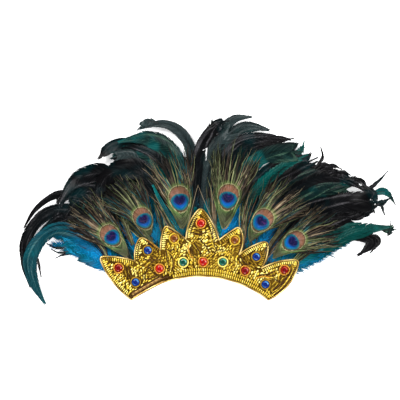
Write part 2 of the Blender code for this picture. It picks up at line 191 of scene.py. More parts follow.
def through(start, middle, end, steps):
    """Points on the parabola through three points, without the last."""
    start, middle, end = (np.array(p, float) for p in (start, middle, end))
    before = np.linalg.norm(middle - start)
    share = before / (before + np.linalg.norm(end - middle))
    handle = middle - (1 - share) ** 2 * start - share**2 * end
    handle = handle / (2 * share * (1 - share))
    t = (np.arange(steps) / steps)[:, None]
    return bow(start, handle, end, t)


def bow(start, handle, end, t):
    """Points of the curve that leaves start towards handle and comes from there to end."""
    return (1 - t) ** 2 * start + 2 * t * (1 - t) * handle + t**2 * end


def whole(points, steps):
    """Points on the parabola through three points, with the last."""
    return np.vstack((through(*points, steps), points[-1][None]))


def crown_outline():
    """The crown's edge, clockwise from its lower left corner, with rounded tips."""
    parts = []
    foot = LEFT_CORNER
    turn = (np.arange(TIP_STEPS + 1) / TIP_STEPS)[:, None]
    for peak in rows(PEAK_COLUMNS, PEAKS):
        tip = np.array((peak["tip_x"], peak["tip_y"]), float)
        next_foot = (peak["foot_x"], peak["foot_y"])
        rise = through(foot, (peak["rise_x"], peak["rise_y"]), tip, FLANK_STEPS)
        fall = through(tip, (peak["fall_x"], peak["fall_y"]), next_foot, FLANK_STEPS)
        rise = rise[np.hypot(*(rise - tip).T) > TIP_REACH]
        fall = fall[np.hypot(*(fall - tip).T) > TIP_REACH]
        parts += [rise[:-1], bow(rise[-1], tip, fall[0], turn), fall[1:]]
        foot = next_foot
    half_angle = np.arcsin(BAND_HALF_CHORD / BAND_RADIUS)
    angles = np.linspace(half_angle, -half_angle, BAND_STEPS + 1)[:-1]
    arc = joined(np.sin(angles), np.cos(angles)) * BAND_RADIUS
    parts.append(arc + (0.0, BAND_CENTRE_Y))
    return np.vstack(parts)


def band_distance(points):
    """How far points lie from the brow edge, measured outwards."""
    return np.hypot(points[:, 0], points[:, 1] - BAND_CENTRE_Y) - BAND_RADIUS


def run_along(curve):
    """The length of a polyline up to each of its points."""
    return np.concatenate(([0.0], np.cumsum(np.linalg.norm(np.diff(curve, axis=0), axis=1))))


def path_length(curve):
    return float(np.sum(np.linalg.norm(np.diff(curve, axis=0), axis=1)))


def resample(curve, count):
    """Evenly spread points on a polyline."""
    length = run_along(curve)
    even = np.linspace(0, length[-1], count)
    return joined(*(np.interp(even, length, values) for values in curve.T))


def spline(points, count):
    """Evenly spread points on the natural cubic spline through some points."""
    points = np.array(points, float)
    knots = run_along(points)
    size = len(points)
    spans = np.diff(knots)
    matrix = np.eye(size)
    right = np.zeros_like(points)
    for i in range(1, size - 1):
        matrix[i, i - 1 : i + 2] = spans[i - 1], 2 * (spans[i - 1] + spans[i]), spans[i]
        slopes = (points[i + 1] - points[i]) / spans[i] - (points[i] - points[i - 1]) / spans[i - 1]
        right[i] = 6 * slopes
    bends = np.linalg.solve(matrix, right)
    fine = np.linspace(0, knots[-1], 10 * count)
    cell = np.clip(np.searchsorted(knots, fine, side="right") - 1, 0, size - 2)
    ahead = (knots[cell + 1] - fine)[:, None]
    behind = (fine - knots[cell])[:, None]
    span = spans[cell][:, None]
    curve = bends[cell] * ahead**3 / (6 * span) + bends[cell + 1] * behind**3 / (6 * span)
    curve += (points[cell] / span - bends[cell] * span / 6) * ahead
    curve += (points[cell + 1] / span - bends[cell + 1] * span / 6) * behind
    return resample(curve, count)


def at(array, share):
    """Rows of an evenly spread array at shares of its length, run on past its end."""
    place = np.maximum(share, 0.0) * (len(array) - 1)
    index = np.minimum(place.astype(int), len(array) - 2)
    part = (place - index)[..., None]
    return array[index] * (1 - part) + array[index + 1] * part


def root_point(angle):
    turn = radians(angle)
    return (ROOT_RADIUS * sin(turn), BAND_CENTRE_Y + ROOT_RADIUS * cos(turn))


def bed_height(distance):
    rise = BED_RISE * smooth(distance, BED_RISE_FROM, BED_RISE_TO)
    return QUILL_Z + rise - BED_FALL * smooth(distance, BED_FALL_FROM, BED_FALL_TO)


def coque_height(feather, plan, share):
    """Height of a cock's tail feather at plan points of any shape (..., 2)."""
    if "flat" in feather:
        return np.full(plan.shape[:-1], float(feather["flat"]))
    distance = np.hypot(plan[..., 0], plan[..., 1] - BAND_CENTRE_Y) - ROOT_RADIUS
    layer = LAYER_STEP * feather["layer"] * smooth(distance, LAYERS_FROM, LAYERS_TO)
    return bed_height(distance) + layer + feather["lift"] * smooth(share, LIFT_FROM, 1.0)


# Texture cells: the part of each that stays empty at its sides and its ends
STRIP_MARGINS = (0.12, 0.03)
TUBE_MARGIN = 0.04
TUBE_CELLS = 12.0
COPY_MARGIN = 0.06
STRIP_ASPECT = 10.0
GROUP_FILL = 0.99
# A twisted cord's strands
STRANDS = 2


def grid_cells(count, aspect):
    """Corners and size of UV cells for many like pieces, aspect times as tall as wide."""
    across = max(1, int(np.ceil(np.sqrt(count * aspect))))
    up = int(np.ceil(count / across))
    index = np.arange(count)
    corner = np.column_stack((index % across, index // across)).astype(float)
    return corner / (across, up), np.array((1.0 / across, 1.0 / up))


def set_values(layer, key, values, kind=np.float32):
    layer.foreach_set(key, np.asarray(values).astype(kind).ravel())


class Sheaf:
    """Collects strips, tubes and copies of small shapes, and makes one mesh of them."""

    def __init__(self):
        self.points = []
        self.faces = []
        self.uvs = []
        self.slots = []
        self.spots = []
        self.areas = []
        self.total = 0

    def add(self, points, faces, uvs, spots, slot=0, area=1.0):
        """faces are quads; uvs go by face corner, within 0 to 1 of this group's own area."""
        self.points.append(points.reshape(-1, 3))
        self.faces.append(faces.reshape(-1, 4) + self.total)
        self.uvs.append(uvs.reshape(-1, 2))
        self.spots.append(spots.reshape(-1, 3))
        self.slots.append(np.full(len(self.faces[-1]), slot))
        self.areas.append(area)
        self.total += len(self.points[-1])

    def strips(self, lines, across, half, spots, area=1.0):
        """Ribbons: lines and across are (n, k, 3), half is (n, k), spots are (n, k, 3)."""
        n, k = half.shape
        edge = across * half[..., None]
        points = np.stack((lines - edge, lines + edge), axis=2)
        base = (np.arange(n * k).reshape(n, k) * 2)[:, :-1]
        faces = joined(base, base + 1, base + 3, base + 2)
        corner, size = grid_cells(n, STRIP_ASPECT)
        side, end = STRIP_MARGINS
        low = np.arange(k - 1) / (k - 1)
        high = low + 1.0 / (k - 1)
        u = np.array((side, 1 - side, 1 - side, side))
        uvs = corner[:, None, None] + size * joined(u, end + (1 - 2 * end) * joined(low, low, high, high))
        self.add(points, faces, uvs, np.repeat(spots[:, :, None], 2, axis=2), area=area)

    def tube(self, line, radius, sides, spots, slot=0, area=1.0, closed=False, flat=1.0, twist=None):
        """A round cord along a line (k, 3); twist is the depth and the pitch of its strands."""
        k = len(line)
        if closed:
            along = unit(np.roll(line, -1, axis=0) - np.roll(line, 1, axis=0))
        else:
            along = unit(np.gradient(line, axis=0))
        side = unit(np.cross(along, UP))
        up = np.cross(side, along)
        angle = 2 * pi * np.arange(sides) / sides
        radius = np.reshape(radius, (-1, 1)) * np.ones((k, sides))
        if twist is not None:
            depth, pitch = twist
            run = run_along(line)
            if closed:
                total = run[-1] + np.linalg.norm(line[0] - line[-1])
                pitch = total / max(1, round(total / pitch))
            wave = np.cos(STRANDS * (angle + 2 * pi * run[:, None] / (pitch * STRANDS)))
            radius = radius * (1 + depth * wave)
        ring = np.cos(angle)[:, None] * side[:, None] + flat * np.sin(angle)[:, None] * up[:, None]
        points = line[:, None] + radius[..., None] * ring
        spans = k if closed else k - 1
        i = np.arange(spans)[:, None]
        j = np.arange(sides)[None]
        n = (i + 1) % k
        m = (j + 1) % sides
        faces = joined(i * sides + j, i * sides + m, n * sides + m, n * sides + j)
        rows_up = max(1, int(np.ceil(np.sqrt(spans / TUBE_CELLS))))
        per_row = int(np.ceil(spans / rows_up))
        fill = 1 - 2 * TUBE_MARGIN
        u = (i % per_row) / per_row
        v = (i // per_row + (TUBE_MARGIN + fill * j / sides)) / rows_up
        du, dv = 1.0 / per_row, fill / sides / rows_up
        uvs = np.stack((joined(u, v), joined(u, v + dv), joined(u + du, v + dv), joined(u + du, v)), axis=2)
        spots = np.broadcast_to(np.reshape(spots, (-1, 1, 3)), points.shape)
        self.add(points, faces, uvs, spots, slot, area)

    def copies(self, template, centres, axes, sizes, spots):
        """Copies of a template: axes are (n, 3, 3) rows x y z, sizes (n, 3), spots (n, 3)."""
        shape, quads, shape_uv = template
        n = len(centres)
        points = centres[:, None] + np.einsum("nmi,nij->nmj", shape[None] * sizes[:, None], axes)
        faces = quads[None] + (np.arange(n) * len(shape))[:, None, None]
        corner, size = grid_cells(n, 1.0)
        uvs = corner[:, None, None] + size * (COPY_MARGIN + (1 - 2 * COPY_MARGIN) * shape_uv[None])
        self.add(points, faces, uvs, np.repeat(spots[:, None], len(shape), axis=1))

    def build(self, name, materials, replaces=None):
        """One mesh object of all groups; replaces is the node whose place it takes."""
        points = np.concatenate(self.points) * MM
        faces = np.concatenate(self.faces)
        mesh = bpy.data.meshes.new(name)
        mesh.vertices.add(len(points))
        set_values(mesh.vertices, "co", points)
        mesh.loops.add(faces.size)
        set_values(mesh.loops, "vertex_index", faces, np.int32)
        mesh.polygons.add(len(faces))
        set_values(mesh.polygons, "loop_start", np.arange(0, faces.size, 4), np.int32)
        set_values(mesh.polygons, "material_index", np.concatenate(self.slots), np.int32)
        set_values(mesh.polygons, "use_smooth", np.full(len(faces), True), bool)
        mesh.update(calc_edges=True)
        share = np.array(self.areas) / sum(self.areas)
        foot = 0.0
        maps = []
        for uv, part in zip(self.uvs, share):
            maps.append(joined(uv[:, 0], foot + uv[:, 1] * part * GROUP_FILL))
            foot += part
        set_values(mesh.uv_layers.new(name="OFBake").data, "uv", np.concatenate(maps))
        spots = mesh.attributes.new("spot", "FLOAT_VECTOR", "POINT")
        set_values(spots.data, "vector", np.concatenate(self.spots))
        for material in materials:
            mesh.materials.append(material)
        piece = bpy.data.objects.new(name, mesh)
        bpy.context.scene.collection.objects.link(piece)
        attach(piece, "root")
        if replaces:
            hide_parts(replaces)


class Paint:
    """Short calls for building a node material."""

    def __init__(self, name, **values):
        self.material = bpy.data.materials.new(name)
        self.material.use_nodes = True
        self.tree = self.material.node_tree
        self.shader = self.tree.nodes["Principled BSDF"]
        for key, value in values.items():
            self.shader.inputs[key.replace("_", " ")].default_value = value

    def node(self, kind, inputs=(), **settings):
        node = self.tree.nodes.new(kind)
        for key, value in settings.items():
            setattr(node, key, value)
        for index, value in inputs:
            if isinstance(value, bpy.types.NodeSocket):
                self.tree.links.new(value, node.inputs[index])
            else:
                node.inputs[index].default_value = value
        return node

    def math(self, operation, first, second=0.0, third=0.0):
        inputs = ((0, first), (1, second), (2, third))
        return self.node("ShaderNodeMath", inputs, operation=operation).outputs[0]

    def plus(self, first, second):
        return self.math("ADD", first, second)

    def times(self, first, second):
        return self.math("MULTIPLY", first, second)

    def add_times(self, value, factor, added):
        return self.math("MULTIPLY_ADD", value, factor, added)

    def sway(self, value, size):
        """A value from 0 to 1 as an offset that runs evenly to both sides of nothing."""
        return self.add_times(value, size, -size / 2)

    def spot(self):
        """The three numbers that each point of a mesh carries."""
        return self.split(self.node("ShaderNodeAttribute", attribute_name="spot").outputs["Vector"])

    def split(self, vector):
        return self.node("ShaderNodeSeparateXYZ", ((0, vector),)).outputs

    def noise(self, vector, scale, detail=2.0, rough=0.5):
        inputs = (("Vector", vector), ("Scale", scale), ("Detail", detail), ("Roughness", rough))
        return self.node("ShaderNodeTexNoise", inputs).outputs["Fac"]

    def place(self):
        return self.node("ShaderNodeTexCoord").outputs["Object"]

    def ramp(self, factor, *stops):
        node = self.node("ShaderNodeValToRGB", ((0, factor),))
        elements = node.color_ramp.elements
        for index, (position, colour) in enumerate(stops):
            element = elements[index] if index < 2 else elements.new(position)
            element.position = position
            element.color = (*colour, 1.0)
        return node.outputs["Color"]

    def mix(self, factor, first, second, blend="MIX"):
        inputs = [(0, factor)]
        for index, value in ((6, first), (7, second)):
            inputs.append((index, (*value, 1.0) if isinstance(value, tuple) else value))
        return self.node("ShaderNodeMix", inputs, data_type="RGBA", blend_type=blend).outputs[2]

    def times_colour(self, first, second):
        return self.mix(1.0, first, second, "MULTIPLY")

    def shade(self, colour, factor, dark, light, low=0.0, high=1.0):
        """The colour times a grey from dark to light, as the factor goes from low to high."""
        return self.times_colour(colour, self.ramp(factor, (low, (dark,) * 3), (high, (light,) * 3)))

    def spread(self, value, low, high, to_low=0.0, to_high=1.0):
        inputs = ((0, value), (1, low), (2, high), (3, to_low), (4, to_high))
        return self.node("ShaderNodeMapRange", inputs, interpolation_type="SMOOTHSTEP").outputs[0]

    def bump(self, height, strength, distance=0.0002):
        inputs = (("Height", height), ("Strength", strength), ("Distance", distance))
        self.tree.links.new(self.node("ShaderNodeBump", inputs).outputs[0], self.shader.inputs["Normal"])

    def done(self, colour, roughness=None):
        self.tree.links.new(colour, self.shader.inputs["Base Color"])
        if roughness is not None:
            self.tree.links.new(roughness, self.shader.inputs["Roughness"])
        return self.material


def coque_material(name, base, middle, tip, sheen, gloss):
    """spot is (share of length, across, barb tone)."""
    paint = Paint("coque_" + name, Specular_IOR_Level=0.06)
    share, across, tone = paint.spot()
    place = paint.place()
    chance = paint.node("ShaderNodeObjectInfo").outputs["Random"]
    cloud = paint.noise(place, 30.0, 3.0)
    shifted = paint.plus(share, paint.sway(cloud, 0.24))
    colour = paint.ramp(shifted, (0.0, base), (0.30, base), (0.45, middle), (0.8, tip))
    # painted sheen: noise patches where the colour turns to the sheen colour
    patch = paint.spread(paint.noise(place, 21.0), 0.47, 0.66)
    colour = paint.mix(paint.times(patch, 0.85), colour, sheen)
    # painted highlight: bands along the feather where the streak noise is high, none near the foot
    stretched = ((0, paint.times(across, 0.9)), (1, paint.times(share, 1.1)), (2, paint.times(chance, 60.0)))
    light_and_shade_streak = paint.noise(paint.node("ShaderNodeCombineXYZ", stretched).outputs[0], 3.2, 3.0, 0.55)
    bare = paint.spread(share, 0.3, 0.5)
    band = paint.times(paint.spread(light_and_shade_streak, 0.52, 0.68), bare)
    # painted highlight lines: light barbs within noise patches also take the highlight colour
    light_patch = paint.spread(paint.noise(place, 16.0), 0.45, 0.62)
    lines = paint.times(paint.spread(tone, 0.45, 0.75), light_patch)
    colour = paint.mix(paint.add_times(lines, 0.12, paint.times(band, 0.7)), colour, gloss)
    # painted shade: near-black streaks where the streak noise is low, between the highlight bands
    dark = paint.times(paint.spread(light_and_shade_streak, 0.42, 0.30), bare)
    colour = paint.mix(paint.times(dark, 0.75), colour, (0.001, 0.001, 0.0015))
    # brightness by barb tone: random, and raised on the painted highlight lines
    colour = paint.shade(colour, tone, 0.6, 1.4)
    return paint.done(colour, paint.spread(tone, 0.0, 1.0, 0.27, 0.42))


def down_material():
    """Soft blue barbs; spot is (share of their own length, teal share, barb tone)."""
    paint = Paint("blue_down", Specular_IOR_Level=0.1)
    _, teal, tone = paint.spot()
    cloud = paint.noise(paint.place(), 45.0, 3.0)
    blue = paint.mix(cloud, (0.0, 0.10, 0.24), (0.0, 0.20, 0.50))
    green = paint.mix(cloud, (0.0, 0.05, 0.07), (0.0, 0.12, 0.15))
    colour = paint.shade(paint.mix(teal, blue, green), tone, 0.5, 1.3)
    return paint.done(colour, paint.spread(cloud, 0.3, 0.7, 0.6, 0.8))


def quill_material():
    """Dark horn; spot starts with the share of the feather's length."""
    paint = Paint("quill", Specular_IOR_Level=0.25)
    share = paint.spot()[0]
    horn = ((0.0, (0.03, 0.04, 0.04)), (0.3, (0.02, 0.022, 0.02)), (0.6, (0.01, 0.01, 0.01)))
    colour = paint.ramp(share, *horn)
    grain = paint.noise(paint.place(), 900.0)
    colour = paint.mix(paint.times(grain, 0.3), colour, (0.03, 0.025, 0.02))
    return paint.done(colour, paint.spread(grain, 0.3, 0.7, 0.35, 0.5))


# Loose peacock barbs by their tone: brown up to 0.42, then green, then teal from 0.9
STRAND_TONES = (
    (0.0, (0.009, 0.008, 0.007)),
    (0.12, (0.034, 0.024, 0.017)),
    (0.28, (0.12, 0.08, 0.048)),
    (0.42, (0.28, 0.215, 0.135)),
    (0.5, (0.02, 0.026, 0.013)),
    (0.66, (0.088, 0.105, 0.045)),
    (0.84, (0.235, 0.245, 0.115)),
    (0.9, (0.004, 0.04, 0.045)),
    (1.0, (0.01, 0.12, 0.13)),
)
HALO_TONES = (
    (0.0, (0.028, 0.034, 0.014)),
    (0.35, (0.055, 0.092, 0.03)),
    (0.75, (0.095, 0.175, 0.045)),
    (1.0, (0.20, 0.16, 0.09)),
)
BRONZE_TONES = ((0.3, (0.12, 0.07, 0.045)), (0.5, (0.22, 0.095, 0.05)), (0.7, (0.24, 0.125, 0.10)))


def peacock_material():
    """spot is (mm ahead of the eye's middle, mm to its side, barb tone)."""
    paint = Paint("peacock", Specular_IOR_Level=0.1)
    ahead, aside, tone = paint.spot()

    def egg(centre, ahead_radius, side_radius, taper):
        x = paint.math("DIVIDE", paint.math("SUBTRACT", ahead, centre), ahead_radius)
        wide = paint.add_times(x, taper * side_radius, side_radius)
        y = paint.math("DIVIDE", aside, wide)
        return paint.math("SQRT", paint.add_times(x, x, paint.times(y, y)))

    def laid(oval, low, high, colour, under):
        return paint.mix(paint.spread(oval, low, high, 1.0, 0.0), under, colour)

    place = paint.place()
    grain = paint.noise(place, 240.0, 3.0)
    patch = paint.noise(place, 90.0)
    chance = paint.math("FRACT", paint.times(tone, 2.2))
    ragged = paint.sway(chance, 0.04)

    loose = paint.shade(paint.ramp(tone, *STRAND_TONES), patch, 0.6, 1.25, 0.35, 0.65)
    dull = paint.times_colour(loose, (0.5, 0.55, 0.55))
    loose = paint.mix(paint.spread(ahead, 30.0, 75.0), loose, dull)

    green = paint.ramp(chance, *HALO_TONES)
    green = paint.mix(paint.spread(ahead, -13.0, -30.0, 0.0, 0.75), green, (0.062, 0.062, 0.034))
    green = paint.shade(green, patch, 0.7, 1.3, 0.35, 0.65)
    green = paint.mix(paint.times(paint.spread(ahead, 8.0, 20.0), 0.5), green, (0.16, 0.24, 0.06))
    halo = paint.plus(egg(-7.0, 33.0, 19.0, 0.28), paint.sway(grain, 0.3))
    colour = laid(halo, 0.86, 1.12, green, loose)

    ring = paint.plus(egg(2.6, 20.6, 15.8, 0.16), ragged)
    pale = paint.mix(patch, (0.20, 0.17, 0.08), (0.40, 0.36, 0.19))
    colour = laid(ring, 0.98, 1.03, pale, colour)
    colour = laid(ring, 0.93, 0.965, (0.07, 0.05, 0.022), colour)
    bronze = paint.shade(paint.ramp(patch, *BRONZE_TONES), grain, 0.8, 1.15, 0.3, 0.7)
    colour = laid(paint.plus(egg(4.6, 16.8, 14.0, 0.12), ragged), 0.9, 1.03, bronze, colour)

    turquoise = paint.mix(grain, (0.0, 0.075, 0.11), (0.005, 0.17, 0.19))
    shield = egg(-1.4, 12.4, 13.0, 0.22)
    colour = laid(paint.plus(shield, ragged), 0.93, 1.06, turquoise, colour)
    cobalt = paint.mix(paint.spread(ahead, 4.0, -9.0), (0.0, 0.035, 0.17), (0.0, 0.09, 0.37))
    colour = laid(shield, 0.62, 0.94, cobalt, colour)

    notch = paint.spread(paint.math("ABSOLUTE", aside), 0.0, 3.2, 0.35, 0.0)
    notch = paint.times(notch, paint.spread(ahead, 1.5, 6.0))
    specks = paint.times(paint.spread(paint.noise(place, 330.0), 0.56, 0.66), 0.6)
    violet = paint.mix(specks, (0.004, 0.005, 0.045), (0.075, 0.010, 0.10))
    colour = laid(paint.plus(egg(1.4, 8.6, 9.4, 0.15), notch), 0.62, 1.12, violet, colour)
    colour = paint.shade(colour, chance, 0.72, 1.12)
    return paint.done(colour, paint.spread(chance, 0.0, 1.0, 0.36, 0.5))


def gold_material(name, colours, rough_low, rough_high):
    """spot.z is the tone of the piece of thread or coil; colours run from dark to light."""
    paint = Paint(name, Metallic=0.85, Specular_IOR_Level=0.6)
    fleck = paint.noise(paint.place(), 420.0)
    tone = paint.add_times(fleck, 0.24, paint.math("SUBTRACT", paint.spot()[2], 0.12))
    colour = paint.ramp(tone, *zip((0.02, 0.36, 0.7, 0.98), colours))
    return paint.done(colour, paint.spread(fleck, 0.3, 0.7, rough_low, rough_high))


def ground_material():
    """Dark gold metallic cloth under the embroidery."""
    paint = Paint("gold_ground", Metallic=0.9, Specular_IOR_Level=0.3)
    place = paint.place()
    wave = (("Vector", place), ("Scale", 520.0))
    warp, weft = (paint.node("ShaderNodeTexWave", wave, bands_direction=way).outputs["Fac"] for way in "XY")
    weave = paint.times(warp, weft)
    cloud = paint.spread(paint.noise(place, 60.0, 3.0), 0.3, 0.7)
    colour = paint.mix(cloud, (0.07, 0.035, 0.003), (0.20, 0.115, 0.012))
    colour = paint.mix(weave, paint.times_colour(colour, (0.5, 0.45, 0.4)), colour)
    paint.bump(weave, 0.5)
    return paint.done(colour, paint.spread(weave, 0.0, 1.0, 0.6, 0.4))


def lining_material():
    """Black felt on the back of the crown."""
    paint = Paint("felt_lining", Specular_IOR_Level=0.1)
    fibres = paint.noise(paint.place(), 700.0, 4.0)
    cloud = paint.noise(paint.place(), 50.0)
    colour = paint.mix(fibres, (0.008, 0.008, 0.009), (0.045, 0.044, 0.046))
    paint.bump(fibres, 0.6)
    colour = paint.shade(colour, cloud, 0.8, 1.2, 0.3, 0.7)
    return paint.done(colour, paint.spread(fibres, 0.3, 0.7, 0.85, 0.97))


def stone_material(name, deep, rich, rim, glow):
    """Cut glass with its light painted in: a petalled painted shade of depth in the middle, a light painted
    rim, and two painted glints on the facets.
    """
    paint = Paint("stone_" + name, Specular_IOR_Level=0.3, Coat_Weight=0.1, Coat_Roughness=0.03)
    x, y, _ = paint.split(paint.node("ShaderNodeTexCoord").outputs["Generated"])
    x = paint.math("SUBTRACT", x, 0.5)
    y = paint.math("SUBTRACT", y, 0.5)
    radius = paint.math("SQRT", paint.add_times(x, x, paint.times(y, y)))
    petals = paint.math("COSINE", paint.times(paint.math("ARCTAN2", y, x), 6.0))
    cloud = paint.noise(paint.place(), 350.0)
    # painted light and shade of the cut: a dark depth in the middle, petals by facet, and a rim colour at
    # the edge
    inner = paint.add_times(cloud, 0.08, paint.add_times(petals, 0.035, radius))
    colour = paint.ramp(inner, (0.06, rich), (0.18, deep), (0.34, rich), (0.47, rich), (0.56, rim))
    # painted glints: a highlight in the ring towards the upper right, and a weaker one towards the lower
    # left
    lit = paint.add_times(x, 0.6, paint.times(y, 0.8))
    ring = paint.times(paint.spread(radius, 0.2, 0.3), paint.spread(radius, 0.46, 0.38))
    painted_glint = paint.times(paint.spread(lit, 0.16, 0.30), ring)
    second = paint.times(paint.spread(lit, -0.24, -0.34), ring)
    colour = paint.mix(paint.add_times(painted_glint, 0.5, paint.times(second, 0.2)), colour, glow)
    return paint.done(colour, paint.spread(cloud, 0.2, 0.8, 0.06, 0.14))


def random_walks(rng, count, steps, size):
    """Smooth random values (count, steps) that start at zero."""
    walk = np.cumsum(rng.normal(0.0, 1.0, (count, steps)), axis=1)
    walk -= walk[:, :1]
    return walk * size / np.sqrt(steps)


def ribbon_sides(lines, tilt):
    """Directions across ribbons along lines (n, k, 3), tilted about them."""
    along = unit(np.gradient(lines, axis=1))
    across = unit(np.cross(along, UP))
    return across * np.cos(tilt)[..., None] + np.cross(across, along) * np.sin(tilt)[..., None]


def coque_plan(feather):
    return spline([root_point(feather["root"]), *plan_points(feather, "abct")], 160)


ROUND_FROM = 0.90
ROUND_RUN = 0.12
ROUND_DEPTH = 0.98


def coque_half(feather, share):
    """Half of a feather's width at shares of its length."""
    start, end = feather["full_from"], feather["full_to"]
    swell = smooth(share, start - VANE_SWELL, start + VANE_FULL)
    taper = 1.0 - smooth(share, end, VANE_END) ** 0.8
    rounding = np.sqrt(1.0 - ROUND_DEPTH * np.clip((share - ROUND_FROM) / ROUND_RUN, 0.0, 1.0) ** 2)
    return feather["width"] / 2 * swell * taper * rounding


# Places where the barbs part and the floor shows: ends in plan units, half widths in mm
GAP_COLUMNS = "ax ay bx by half_a half_b"
GAPS = (
    (6.8, 112.6, 6.0, 101.8, 1.4, 1.2),
    (3.0, 111.3, 7.2, 113.8, 0.6, 0.8),
    (58.3, 91.4, 63.5, 96.6, 0.7, 1.6),
    (63.5, 96.6, 69.5, 99.8, 1.6, 0.6),
)
GAP_SAMPLES = 60
SHORTEST_BARB = 0.03


def in_gap(points):
    found = np.zeros(points.shape[:-1], bool)
    for gap in rows(GAP_COLUMNS, GAPS):
        start, end = plan_points(gap, "ab")
        run = end - start
        share = np.clip(((points - start) @ run) / (run @ run), 0.0, 1.0)
        distance = np.linalg.norm(points - start - share[..., None] * run, axis=-1)
        found |= distance < gap["half_a"] + (gap["half_b"] - gap["half_a"]) * share
    return found


def along_barbs(values, share):
    """values (barbs, steps, ...) read at the share (barbs, n) of each barb's steps."""
    place = share * (values.shape[1] - 1)
    before = np.minimum(place.astype(int), values.shape[1] - 2)
    barb = np.arange(len(values))[:, None]
    part = place - before
    if values.ndim == 3:
        part = part[..., None]
    return values[barb, before] * (1 - part) + values[barb, before + 1] * part


def add_barbs(sheaf, lines, across, half, spots):
    """The barbs as strips; one that meets a gap is left out between the gap's sides."""
    share = np.linspace(0, 1, GAP_SAMPLES)
    hit = in_gap(along_barbs(lines[..., :2], np.tile(share, (len(lines), 1))))
    touched = hit.any(axis=1)
    first = np.where(touched, share[np.argmax(hit, axis=1)], 1.0)
    last = np.where(touched, share[-1 - np.argmax(hit[:, ::-1], axis=1)], 1.0)
    for low, high in ((np.zeros_like(first), first), (last, np.ones_like(last))):
        kept = high - low > SHORTEST_BARB
        if kept.any():
            read = (low + (high - low) * np.linspace(0, 1, lines.shape[1])[:, None]).T[kept]
            parts = [along_barbs(values[kept], read) for values in (lines, across, half, spots)]
            sheaf.strips(*parts, area=BARB_AREA)


# A cock's tail feather: the vane starts VANE_LEAD before the full width and ends at VANE_STOP,
# as shares of the length; barbs leave the shaft at BARB_ANGLE degrees and close by BARB_CLOSING
# towards the tip; here and there a SPLIT parts the vane; sizes are in millimetres
VANE_FIRST = 0.02
VANE_LEAD = 0.19
VANE_STOP = 0.985
SHAFT_TAPER = 0.8
SHAFT_TIP = 0.12
SHAFT_SIDES = 6
SHAFT_AREA = 0.05
SHAFT_TONE = 0.5
BARB_STEPS = 7
BARB_ANGLE = 46.0
BARB_CLOSING = 22.0
BARB_POWER = 0.92
BARB_SWEEP = 0.70
BARB_SWEEP_END = 0.48
BARB_SHORTEST = 0.7
BARB_STUB = 0.3
BARB_DROOP = 0.055
BARB_LIFT = 0.4
BARB_HALF = 0.85
BARB_TILT = 0.12
BARB_CUP = 0.35
BARB_ROLL = 0.35
BARB_AREA = 0.45
BARB_NOISE = {"place": 0.0008, "angle": 0.8, "reach": 0.018, "wave": 0.05, "ahead": 0.10, "height": 0.2,
              "tilt": 0.07, "tone": 0.07}
SPLITS = (1, 5)
SPLIT_PLACES = (0.15, 0.98)
SPLIT_OPENING = (0.6, 2.2)
SPLIT_RUN = 7.0
# The barbs' tones: a dark ground with a light line every few barbs, a painted highlight line
TONE_GROUND = 0.28
HIGHLIGHT_LINE_TONE = 0.42
TONE_WAVE = 1.2
LINE_EVERY = (5, 9)
LINE_BARBS = 2


def add_coque(sheaf, feather, plan, rng, pitch):
    """One cock's tail feather: shaft, and a vane of curved barbs on each side."""
    length = path_length(plan)
    normal = directions(plan)[1]
    share = np.linspace(0, 1, len(plan))
    foot = feather.get("foot", 0.0)
    shaft = np.flatnonzero(share <= VANE_STOP)[::3]
    line = raised(plan, coque_height(feather, plan, share))
    radius = SHAFT_TAPER * (1 - share) + SHAFT_TIP
    spots = joined(foot + share, 0.0, SHAFT_TONE)
    sheaf.tube(line[shaft], radius[shaft], SHAFT_SIDES, spots[shaft], slot=1, area=SHAFT_AREA)

    along = np.linspace(0, 1, BARB_STEPS)
    start = max(feather["full_from"] - VANE_LEAD, VANE_FIRST)
    barbs = int(length * (VANE_STOP - start) / pitch)
    order = np.arange(barbs)

    def slow(values):
        return np.interp(order, np.linspace(0, barbs, len(values)), values)

    def noise(kind, shape=barbs):
        return rng.normal(0, BARB_NOISE[kind], shape)

    roll = slow(rng.uniform(-BARB_ROLL, BARB_ROLL, 7))
    for side in (-1, 1):
        rooted = np.linspace(start, VANE_STOP, barbs) + noise("place")
        angle = np.radians(BARB_ANGLE - BARB_CLOSING * smooth(rooted, 0.3, 1.0) + noise("angle"))
        lead = 1.0 / np.tan(angle)
        reach = coque_half(feather, rooted + coque_half(feather, rooted) * lead / length)
        reach = reach * (1.0 + noise("reach")) + BARB_STUB
        wave = slow(noise("wave", 14))
        reach = np.maximum(reach * (1.0 + wave), BARB_SHORTEST)
        out = reach[:, None] * along**BARB_POWER
        ahead = out * lead[:, None] * (BARB_SWEEP + BARB_SWEEP_END * along)
        for _ in range(rng.integers(*SPLITS)):
            apart = order - rng.uniform(*SPLIT_PLACES) * barbs
            opening = np.sign(apart) * rng.uniform(*SPLIT_OPENING) * np.exp(-np.abs(apart) / SPLIT_RUN)
            ahead += opening[:, None] * along**2
        ahead += random_walks(rng, barbs, BARB_STEPS, BARB_NOISE["ahead"])
        reached = rooted[:, None] + ahead / length
        point = at(plan, reached) + side * out[..., None] * at(normal, np.minimum(reached, 1.0))
        height = coque_height(feather, point, np.minimum(reached, 1.0)) - BARB_DROOP * out**1.4
        height += random_walks(rng, barbs, BARB_STEPS, BARB_NOISE["height"]) + BARB_LIFT
        lines = raised(point, height)
        tilt = (roll + side * BARB_TILT)[:, None] + noise("tilt", (barbs, 1)) - BARB_CUP * side * along
        half = np.tile(pitch * BARB_HALF * (1.0 - 0.7 * along**6), (barbs, 1))
        runs = np.cumsum(rng.integers(*LINE_EVERY, barbs))
        since = order - np.concatenate(([0], runs))[np.searchsorted(runs, order, side="right")]
        # painted highlight: the tone is raised on a line of LINE_BARBS barbs every few barbs
        tone = TONE_GROUND + HIGHLIGHT_LINE_TONE * (since < LINE_BARBS) + noise("tone") + TONE_WAVE * wave
        spots = joined(foot + reached, side * along, np.clip(tone, 0, 1)[:, None])
        add_barbs(sheaf, lines, ribbon_sides(lines, tilt), half, spots)


